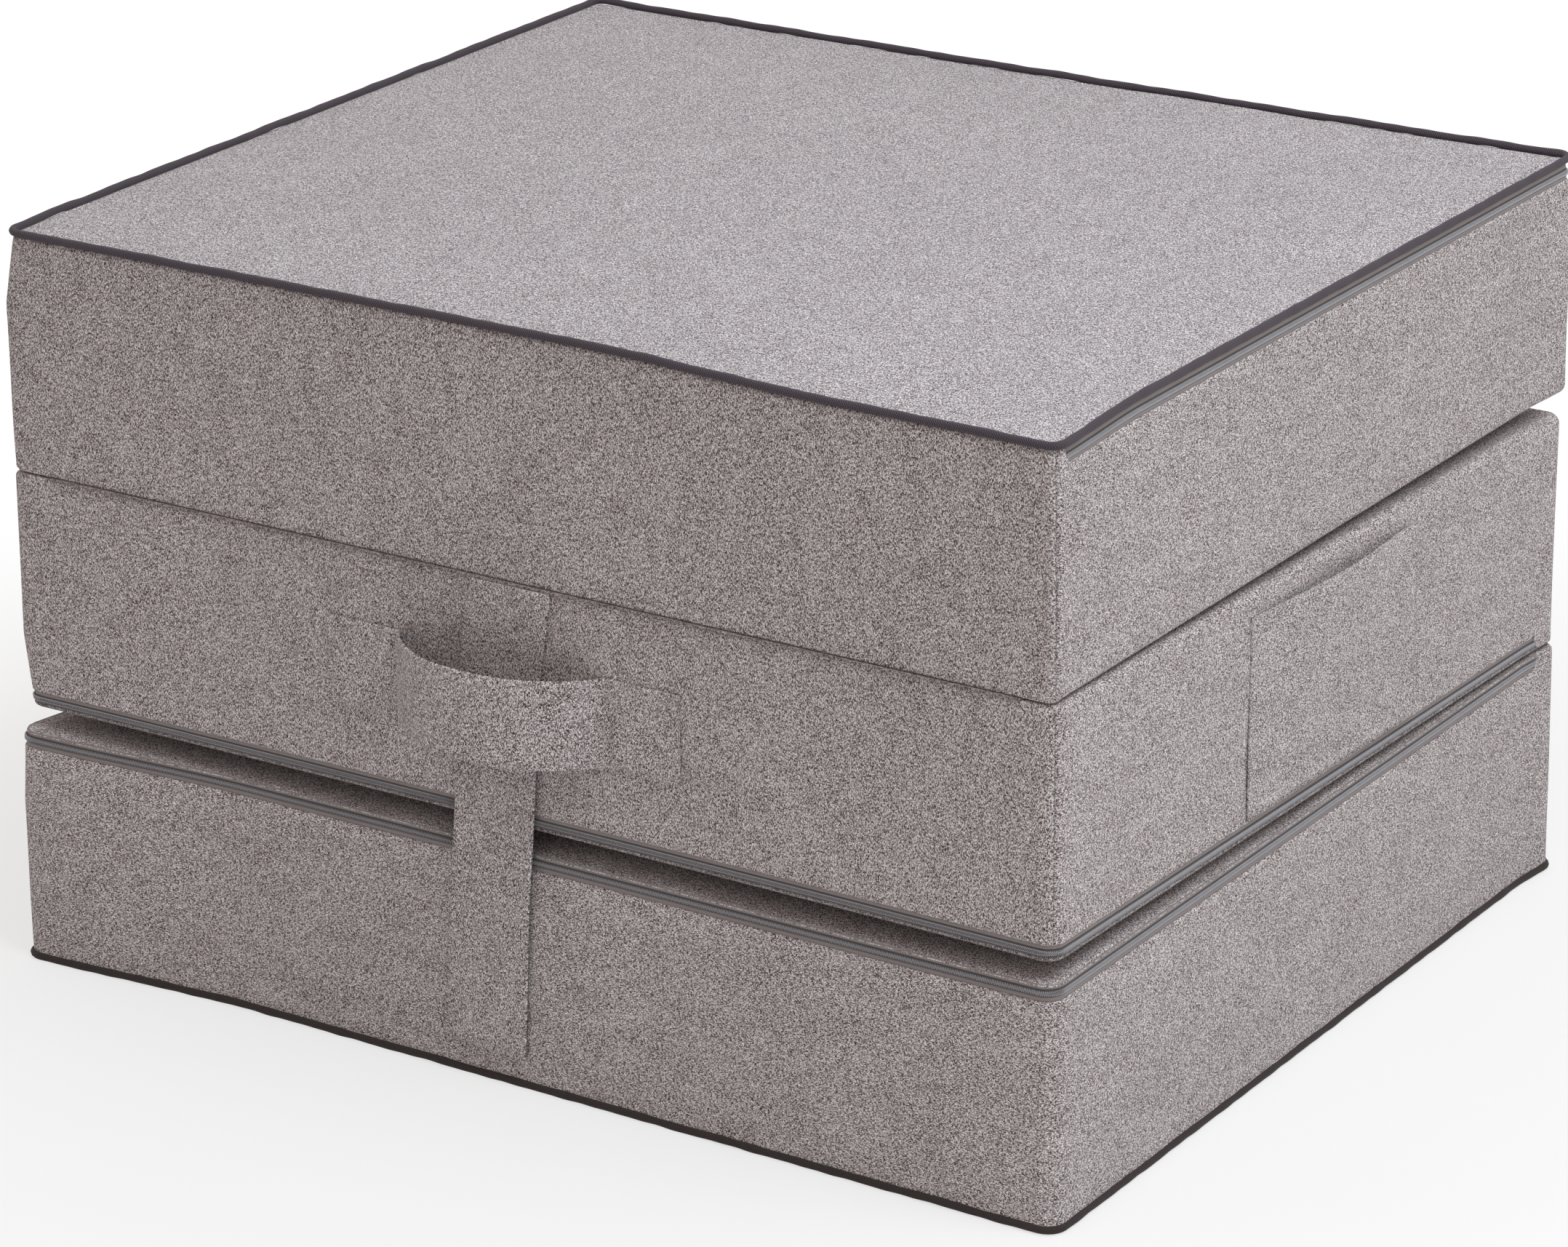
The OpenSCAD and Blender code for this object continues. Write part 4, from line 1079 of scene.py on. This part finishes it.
def ring_piece(name, points, form, material, nodes, slot, closed=False):
    """A mesh from a swept section, with the section's points as rows."""
    rows, cols = points.shape[:2]
    around = np.concatenate([points, points[:1]])
    across = np.concatenate([[0], np.cumsum(np.linalg.norm(
        np.diff(around, axis=0), axis=-1).mean(1))])
    run = distance_along(np.concatenate([points[0], points[0][:1]]) if closed else points[0])
    v, u = np.meshgrid(across, run, indexing="ij")
    flat, quads, uv = mapped(points, u, v)
    obj = piece(name, put(flat, form["place"]), quads, uv, material, form["body"], nodes, slot)
    if not closed:
        close_ends(obj, rows, cols)
    return obj


def close_ends(obj, rows, cols, cap_uv=None):
    """Closes the two ends of an open sweep with one face each. cap_uv has a row for each
    corner of such a face."""
    work = bmesh.new()
    work.from_mesh(obj.data)
    work.verts.ensure_lookup_table()
    for end in (0, cols - 1):
        face = work.faces.new([work.verts[r * cols + end] for r in range(rows)])
        if cap_uv is not None:
            layer = work.loops.layers.uv.active
            for loop, place in zip(face.loops, cap_uv):
                loop[layer].uv = place
    bmesh.ops.recalc_face_normals(work, faces=work.faces)
    work.to_mesh(obj.data)
    work.free()


PIPING_R = 2.8 * MM
TOP_PIPING_R = 2.6 * MM


def make_piping(name, form, out, z, cord_r, proud, material, slot, seed):
    """Piping cord round a block: a circle carried along the outline, a little uneven. proud
    is how much higher it stands on the sides [+X, +Y, -X, -Y]."""
    path = outline_path(form, 3.0 * MM)
    turn = 2 * math.pi * path[3] / round_length(form["corner"])
    sway = sum(np.sin(turn * k + seed * k) for k in (23, 37, 52)) * 0.12 * MM
    swell = 1 + 0.03 * sum(np.sin(turn * k + seed + k) for k in (61, 97, 143))
    angle = np.linspace(0, 2 * math.pi, 12, endpoint=False)[:, None]
    radius = cord_r * swell
    points = swept(form, path, out + sway * 0.5 + radius * np.cos(angle),
                   z + sway + by_side(proud, path[2]) * MM + radius * np.sin(angle))
    ring_piece(name + "_cord", points, form, material, [name], slot, closed=True)


def make_tapes(name, form):
    """The two halves of the zip tape, tucked under the cloth at their far sides and
    thicker where the coil is sewn on."""
    start, end = zip_run(form)
    path = outline_path(form, 6 * MM, start - 2 * MM, end + 2 * MM)
    upper, slit, lower = np.array(form["band"]) * MM
    for side, word, far in ((-1, "body_side", lower - slit), (1, "lid_side", slit - upper)):
        far = far / MM + 1.2
        reach = np.array([0.1, 1.3, 2.55, 2.75, far, far, 0.1]) * MM
        out = np.array([-0.1, -0.1, -0.1, 0.15, -0.1, -0.9, -0.9]) * MM - TAPE_DEPTH
        # Painted shade on the tape under and beside the coil, together with the coil's stitch
        # line; 1 is darkest.
        seam_and_painted_shade = np.array([1, 0.9, 1, 0, 0, 0, 1.0])
        middle = BLOCK_T - slit
        points = swept(form, path, out[:, None], (middle + side * reach)[:, None])
        if side > 0:
            points, seam_and_painted_shade = points[::-1], seam_and_painted_shade[::-1]
        node = name + "_zip_tape_" + word
        tape = ring_piece(node + "_cloth", points, form, TAPE_CLOTH, [node], "zip_tape")
        mark = tape.data.attributes.new("seam", "FLOAT", "POINT")
        mark.data.foreach_set("value", np.repeat(seam_and_painted_shade, points.shape[1]).astype(np.float32))


COIL_RISE, COIL_REACH, WIRE_R = 0.5 * MM, 0.75 * MM, 0.3 * MM
COIL_IN, COIL_APART = 0.2 * MM, 0.8 * MM
COIL_STEPS, WIRE_SIDES = 8, 3


def make_coils(name, form):
    """The two rows of nylon coil. The wire runs round a flat oval while it goes along the
    zip, one turn each pitch, and the rows are half a turn apart so that they mesh."""
    start, end = zip_run(form)
    path = outline_path(form, COIL_PITCH / COIL_STEPS, start, end)
    heading, run = path[2:]
    middle = BLOCK_T - form["band"][1] * MM
    for side, word in ((-1, "body_side"), (1, "lid_side")):
        angle = 2 * math.pi * run / COIL_PITCH + (math.pi if side > 0 else 0)
        wire = np.arange(WIRE_SIDES)[:, None] * 2 * math.pi / WIRE_SIDES
        thick = WIRE_R * np.cos(wire)
        out = -COIL_IN + (COIL_RISE + thick) * np.sin(angle)
        z = middle + side * (COIL_APART + (COIL_REACH + thick) * np.cos(angle))
        points = swept(form, path, out, z)
        along = WIRE_R * np.sin(wire)
        points[..., 0] -= along * np.sin(heading)
        points[..., 1] += along * np.cos(heading)
        if side > 0:
            points = points[::-1]
        node = name + "_zip_coil_" + word
        ring_piece(node + "_wire", points, form, COIL_NYLON, [node], "zip_coil")


# Foam and base

FOAM_INSET, FOAM_END = 6.5 * MM, 4 * MM


def make_foam(name, form):
    """A foam core: the block's own grid, drawn in from the cover on every side."""
    grid = Grid(form, 40 * MM, PLAIN_ARC)
    x, y = (v * (1 - FOAM_INSET / HALF_W) for v in grid.flat(0))
    layers = []
    for level in (FOAM_END, BLOCK_T - FOAM_END):
        z = np.full_like(x, level)
        px, py = pulled(form, x, y, z)
        layers.append(np.stack([px, py, z + lifted(form, px, py, z)], -1))
    band = np.stack([layer[grid.rim] for layer in layers])
    points, quads, _ = boxed(layers[0], band, layers[1])
    core = piece(name + "_foam_core", put(points, form["place"]), quads, None, FOAM,
                 form["body"], [name + "_foam"], "foam")


def make_base_panel():
    """The base cloth: a flat plate in rows of 64 points, from the middle of its underside,
    round its edge, to the middle of its upper side."""
    low, high = map(np.array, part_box("bottom_base_panel"))
    angle = np.linspace(0, 2 * math.pi, 64, endpoint=False)
    c, s = np.cos(angle), np.sin(angle)
    square = np.stack([c, s, 0 * c], -1) / np.maximum(abs(c), abs(s))[:, None]
    edge = ((0.0, -1), (0.5, -1), (0.97, -1), (1, -0.5), (1, 0.5), (0.97, 1), (0.5, 1), (0.0, 1))
    rows = [square * share + [0, 0, z] for share, z in edge]
    points = np.stack(rows) * (high - low) / 2 + (high + low) / 2
    flat, quads, uv = mapped(points, *closed_map(points[..., 0], points[..., 1]), True)
    piece("base_cloth_panel", flat, quads, uv, BASE_CLOTH, "bottom_block",
          ["bottom_base_panel"], "base_cloth")


for block, block_form in FORMS.items():
    make_cover(block, block_form)
    make_tapes(block, block_form)
    make_coils(block, block_form)
    make_foam(block, block_form)

make_piping("top_piping", FORMS["top"], 0.2 * MM, BLOCK_T + 1.5 * MM, TOP_PIPING_R,
            (0, 0.5, 0.3, 0), TOP_PIPING, "charcoal_piping", 1)
make_piping("bottom_piping", FORMS["bottom"], -0.5 * MM, PIPING_R + 0.1 * MM, PIPING_R,
            (0, 0, 0, 0), FOOT_PIPING, "dark_piping", 2)
make_base_panel()


# Metal of the zips and piles of the strap's fastening

for node, material in (
        *[(f"{block}_zip_{part}", ZIP_METAL) for block in FORMS for part in ("slider", "pull")],
        ("hook_patch", HOOK_TAPE), ("loop_patch", LOOP_PILE)):
    source = frame["nodes"][node]
    source.data.materials.clear()
    source.data.materials.append(material)


# Strips of doubled cloth

def even_line(points, step, ease):
    """A line through points, resampled at even steps and eased by a moving average whose
    window is ease long. Its ends stay."""
    points = np.asarray(points, float)
    run = distance_along(points)
    count = int(round(run[-1] / step)) + 1
    at = np.linspace(0, run[-1], count)
    line = np.stack([np.interp(at, run, points[:, k]) for k in range(points.shape[1])], 1)
    half = int(round(ease / step / 2))
    if half:
        total = np.concatenate([[np.zeros(line.shape[1])], np.cumsum(line, axis=0)])
        i = np.arange(count)
        h = np.minimum(half, np.minimum(i, count - 1 - i))
        line = (total[i + h + 1] - total[i - h]) / (2 * h + 1)[:, None]
    return line


def strip_section(width, thick):
    """Section of a doubled strip: a flat bar with half-round edges, as (across, out)."""
    r = thick / 2
    angle = np.radians([90, 54, 18, -18, -54, -90])
    side = width / 2 - r
    edge = np.stack([side + r * np.cos(angle), r * np.sin(angle)], 1)
    inner = np.linspace(side, -side, 9)[1:-1]
    lower = np.stack([inner, np.full(len(inner), -r)], 1)
    upper = np.stack([-inner, np.full(len(inner), r)], 1)
    return np.concatenate([edge, lower, -edge, upper])


def make_strip(name, line, across, width, body, nodes, level=None, cross_cut=False):
    """Carries a strip's section along a line. across is the direction of its width, and
    its thickness stands square to the line. level is how far each row is cut level, and
    cross_cut says that the cloth's warp runs across the strip."""
    way = np.gradient(line, axis=0)
    way /= np.linalg.norm(way, axis=1)[:, None]
    across = across / np.linalg.norm(across)
    out = np.cross(way, across)
    out /= np.linalg.norm(out, axis=1)[:, None]
    section = strip_section(width, STRIP_T)
    points = line[None] + section[:, :1, None] * across + section[:, 1:, None] * out[None]
    if level is not None:
        points[..., 2] -= section[:, :1] * across[2] * level[None]
    run = distance_along(line)
    v, u = np.meshgrid(run, np.concatenate([section[:, 0], section[:1, 0]]))
    flat, quads, uv = mapped(points, u, v)
    cap_uv = section + [0, run[-1]]
    if cross_cut:
        uv, cap_uv = uv[..., ::-1], cap_uv[:, ::-1]
    obj = piece(name, flat, quads, uv, STRIP_CLOTH, body, nodes, "strap_cloth")
    close_ends(obj, len(section), len(line), cap_uv)
    return obj


STITCH_STEP, STITCH_L, STITCH_R = 3.2 * MM, 2.6 * MM, 0.24 * MM
STITCH_SHARES = np.array([-0.5, -0.36, 0.0, 0.36, 0.5])[:, None, None]
STITCH_GIRTH = np.array([0.15, 0.85, 1.0, 0.85, 0.15])[:, None, None]


def stitches(name, lines, body):
    """Rows of sewing stitches on cloth that looks to -Y, one along each line. Each stitch
    is a slim six-sided spindle."""
    all_points, all_quads = [], []
    quads = grid_quads(5, 6, closed_cols=True)
    angle = (np.arange(6) * math.pi / 3)[:, None]
    for line in lines:
        line = even_line(line, STITCH_STEP, 0)
        middle, way = (line[1:] + line[:-1]) / 2, line[1:] - line[:-1]
        way = way / np.linalg.norm(way, axis=1)[:, None]
        side = np.cross(way, (0, -1, 0))
        side /= np.linalg.norm(side, axis=1)[:, None]
        up = np.cross(side, way)
        ring = np.cos(angle) * up[:, None, None] + np.sin(angle) * side[:, None, None]
        points = (middle[:, None, None] + STITCH_SHARES * STITCH_L * way[:, None, None]
                  + ring * STITCH_GIRTH * STITCH_R)
        start = sum(len(p) for p in all_points) + 30 * np.arange(len(middle))
        all_points.append(points.reshape(-1, 3))
        all_quads.append((quads[None] + start[:, None, None]).reshape(-1, 4))
    piece(name, np.concatenate(all_points), np.concatenate(all_quads), None, THREAD, body,
          slot="strap_cloth")


# Handle

HANDLE_W = 60 * MM
HANDLE_SPAN, HANDLE_PATCH, HANDLE_RISE = 165 * MM, 54.5 * MM, 38 * MM
HANDLE_X, HANDLE_UP = -8 * MM, 5 * MM
FRONT_M = -HALF_W - SOFT_CLEAR
STITCH_OUT = 0.05 * MM


def handle_out(x):
    """How far the loop's inner side stands off the block at x from its middle."""
    half = HANDLE_SPAN / 2
    share = np.clip(abs(x) / half, 0, 1)
    return HANDLE_RISE * (1 - share ** 2.4) * smooth((1 - share) / 0.11)


def handle_spot(side, share, edge):
    """A place for a stitch on a patch: its side of the handle, its share of the way out
    along the patch, and its edge, -1 or 1."""
    return (side * (HANDLE_SPAN / 2 + HANDLE_PATCH * share) + HANDLE_X,
            FRONT_M - STRIP_T - STITCH_OUT,
            BLOCK_T / 2 + HANDLE_UP + edge * (HANDLE_W / 2 - 3 * MM))


def make_handle():
    """The carry handle: two flat patches and a loop between them."""
    x = np.linspace(-HANDLE_SPAN / 2 - HANDLE_PATCH, HANDLE_SPAN / 2 + HANDLE_PATCH, 140)
    line = np.stack([x + HANDLE_X, FRONT_M - STRIP_T / 2 - handle_out(x),
                     np.full_like(x, BLOCK_T / 2 + HANDLE_UP)], 1)
    handle = make_strip("carry_handle_strip", put(line, IN_MIDDLE), IN_MIDDLE[:3, 2], HANDLE_W,
                        "middle_block", ["carry_handle"], cross_cut=True)
    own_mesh(handle)
    lines = []
    for side in (-1, 1):
        lines += [[handle_spot(side, share, edge) for edge in (-1, 1)] for share in (0.92, 0.06)]
        lines += [[handle_spot(side, share, edge) for share in (0.05, 0.95)] for edge in (-1, 1)]
    stitches("handle_stitches", [put(np.array(line), IN_MIDDLE) for line in lines], "middle_block")


make_handle()


# Closing strap

STRAP_W = 62 * MM
STRAP_X, STRAP_LEAN = -1.5 * MM, 4.4
STRAP_END_Z = 22 * MM
STRAP_KNEE, STRAP_EASE, STRAP_LEVEL = 34 * MM, 26 * MM, 22 * MM
LOWER_IN = 3 * MM - HALF_W - SOFT_CLEAR
PATCH_T = 1.2 * MM
TAIL_MID = LOWER_IN - STRIP_T - 2 * PATCH_T - SOFT_CLEAR - STRIP_T / 2
STRAP_TURN = turned("Y", STRAP_LEAN)
STRAP_ACROSS, STRAP_DOWN = STRAP_TURN[:3, 0], -STRAP_TURN[:3, 2]


def strap_frame(points):
    """Leans (x, y, z) points about the place where the strap is sewn in."""
    about = moved(STRAP_X, 0, FRONT_AXIS[2]) @ STRAP_TURN @ moved(0, 0, -FRONT_AXIS[2])
    return put(np.asarray(points, float), about)


def make_strap():
    """The closing strap in one piece: down the middle block, round its lower edge and
    down over the lower strap. It bends at the line of its joint."""
    front = FRONT_M - STRIP_T / 2

    def on_middle(z):
        return put(np.array([0, front, z]), IN_MIDDLE)[1:]

    top, low, bend = (on_middle(z) for z in (BLOCK_T - 0.3 * MM, 1.5 * MM, -7 * MM))
    knee = (TAIL_MID, bend[1] - STRAP_KNEE)
    route = [top, low, bend, knee, (TAIL_MID, STRAP_END_Z + 0.2 * MM)]
    line = even_line([(0, *p) for p in route], 2.5 * MM, STRAP_EASE)
    level = np.clip(1 - (line[0, 2] - line[:, 2]) / STRAP_LEVEL, 0, 1) ** 2
    line = strap_frame(line)
    line[:, 0] += np.interp(line[:, 2] / MM, [22, 120, 290, 345], [0.5, -1, -2, 3]) * MM
    strap = make_strip("closing_strap_cloth", line, STRAP_ACROSS, STRAP_W, None,
                       ["closing_strap", "strap_tail"], level)
    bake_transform(strap)
    tail_out = TAIL_MID - STRIP_T / 2 - STITCH_OUT
    rows = [[(s * (STRAP_W / 2 - 2.5 * MM), tail_out, z) for s in (-1, 1)]
            for z in (STRAP_END_Z + 57 * MM, STRAP_END_Z + 4 * MM)]
    stitches("strap_stitches", [strap_frame(row) for row in rows], "free_strap_tail")


def make_lower_strap():
    """The strap's lower half, sewn in above the foot piping."""
    y = LOWER_IN - STRIP_T / 2
    line = strap_frame(even_line([(0, y, 7 * MM), (0, y, 98 * MM)], 3 * MM, 0))
    make_strip("lower_strap_cloth", line, STRAP_ACROSS, STRAP_W, "bottom_block", ["lower_strap"])


make_strap()
make_lower_strap()


# Side pocket

POCKET_W, POCKET_Y, POCKET_DROP = 222 * MM, 10 * MM, 16 * MM
POCKET_T, POCKET_GAPE = 1.4 * MM, 6 * MM


def make_pocket():
    """The pocket's panel: sewn down at both ends and at its foot, with its mouth standing
    open by gape sin(pi u)^1.6 v^2 (3 - 2 v)."""
    cols, rows = 61, 31
    low = (3.5 + 9.5 + 0.3) * MM
    high = BLOCK_T - POCKET_DROP
    u, v = np.meshgrid(np.linspace(0, 1, cols), np.linspace(0, 1, rows))
    lift = SOFT_CLEAR + (POCKET_GAPE - SOFT_CLEAR) * np.sin(np.pi * u) ** 1.6 * ease(v)
    layers = []
    for offset in (POCKET_T, 0):
        layers.append(np.stack([HALF_L + lift + offset, POCKET_Y + POCKET_W * (u - 0.5),
                                low + (high - low) * v], -1))
    outer, inner = layers
    j, i = rim_of(cols, rows)
    rim = np.stack([inner[i, j], outer[i, j]])
    su, sv = u * POCKET_W, v * (high - low)
    rim_uv = closed_map(np.stack([sv[i, j], sv[i, j] + POCKET_T]), np.stack([su[i, j], su[i, j]]))
    parts = [mapped(outer, sv + 1.3, su, True), mapped(inner, sv + 1.3, su),
             mapped(rim, *rim_uv, True)]
    points, quads, uv, _ = joined(*[(*part, np.zeros(len(part[0]))) for part in parts])
    pocket = piece("side_pocket_cloth", put(points, IN_MIDDLE), quads, uv, STRIP_CLOTH,
                   "middle_block", ["side_pocket"], "side_cloth")


make_pocket()


# Hinge seams

HINGE_REACH, HINGE_CLEAR, HINGE_SHORT = 12 * MM, 0.15 * MM, 50 * MM
BEAD_R, HINGE_CLOTH_T = 0.8 * MM, 0.3 * MM


def make_hinge(name, node, axis, gap, fold_side):
    """The cloth that joins two blocks at a fold: an allowance on each, and a rolled bead
    between them on the hinge line. fold_side is -1 where the blocks lie to -Y of it."""
    level = gap / 2 - HINGE_CLEAR
    far = FOLD_CLEAR + HINGE_REACH
    turn = np.radians(np.linspace(-90, 90, 7))
    profile = np.array([(far, -level), (FOLD_CLEAR, -level)]
                       + [(-BEAD_R * math.cos(a), BEAD_R * math.sin(a)) for a in turn]
                       + [(FOLD_CLEAR, level), (far, level)])
    half = (BLOCK_L - HINGE_SHORT) / 2
    u, v = np.meshgrid(distance_along(profile), np.linspace(-half, half, 60), indexing="ij")
    points = np.stack([v, axis[1] + fold_side * profile[:, :1] + 0 * v,
                       axis[2] + profile[:, 1:] + 0 * v], -1)
    # The seam cloth's dark tone is partly painted shade of the groove on the hinge line.
    seam = piece(name, *mapped(points, u, v, fold_side > 0), HINGE_SEAM_AND_PAINTED_SHADE_CLOTH, None, [node],
                 "side_cloth")
    thick = seam.modifiers.new("thickness", "SOLIDIFY")
    thick.thickness, thick.offset = HINGE_CLOTH_T, 0
    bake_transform(seam)


make_hinge("back_hinge_seam", "back_seam_strip", BACK_AXIS, BACK_GAP, -1)
make_hinge("front_hinge_seam", "front_seam_strip", FRONT_AXIS, SEAM_GAP, 1)
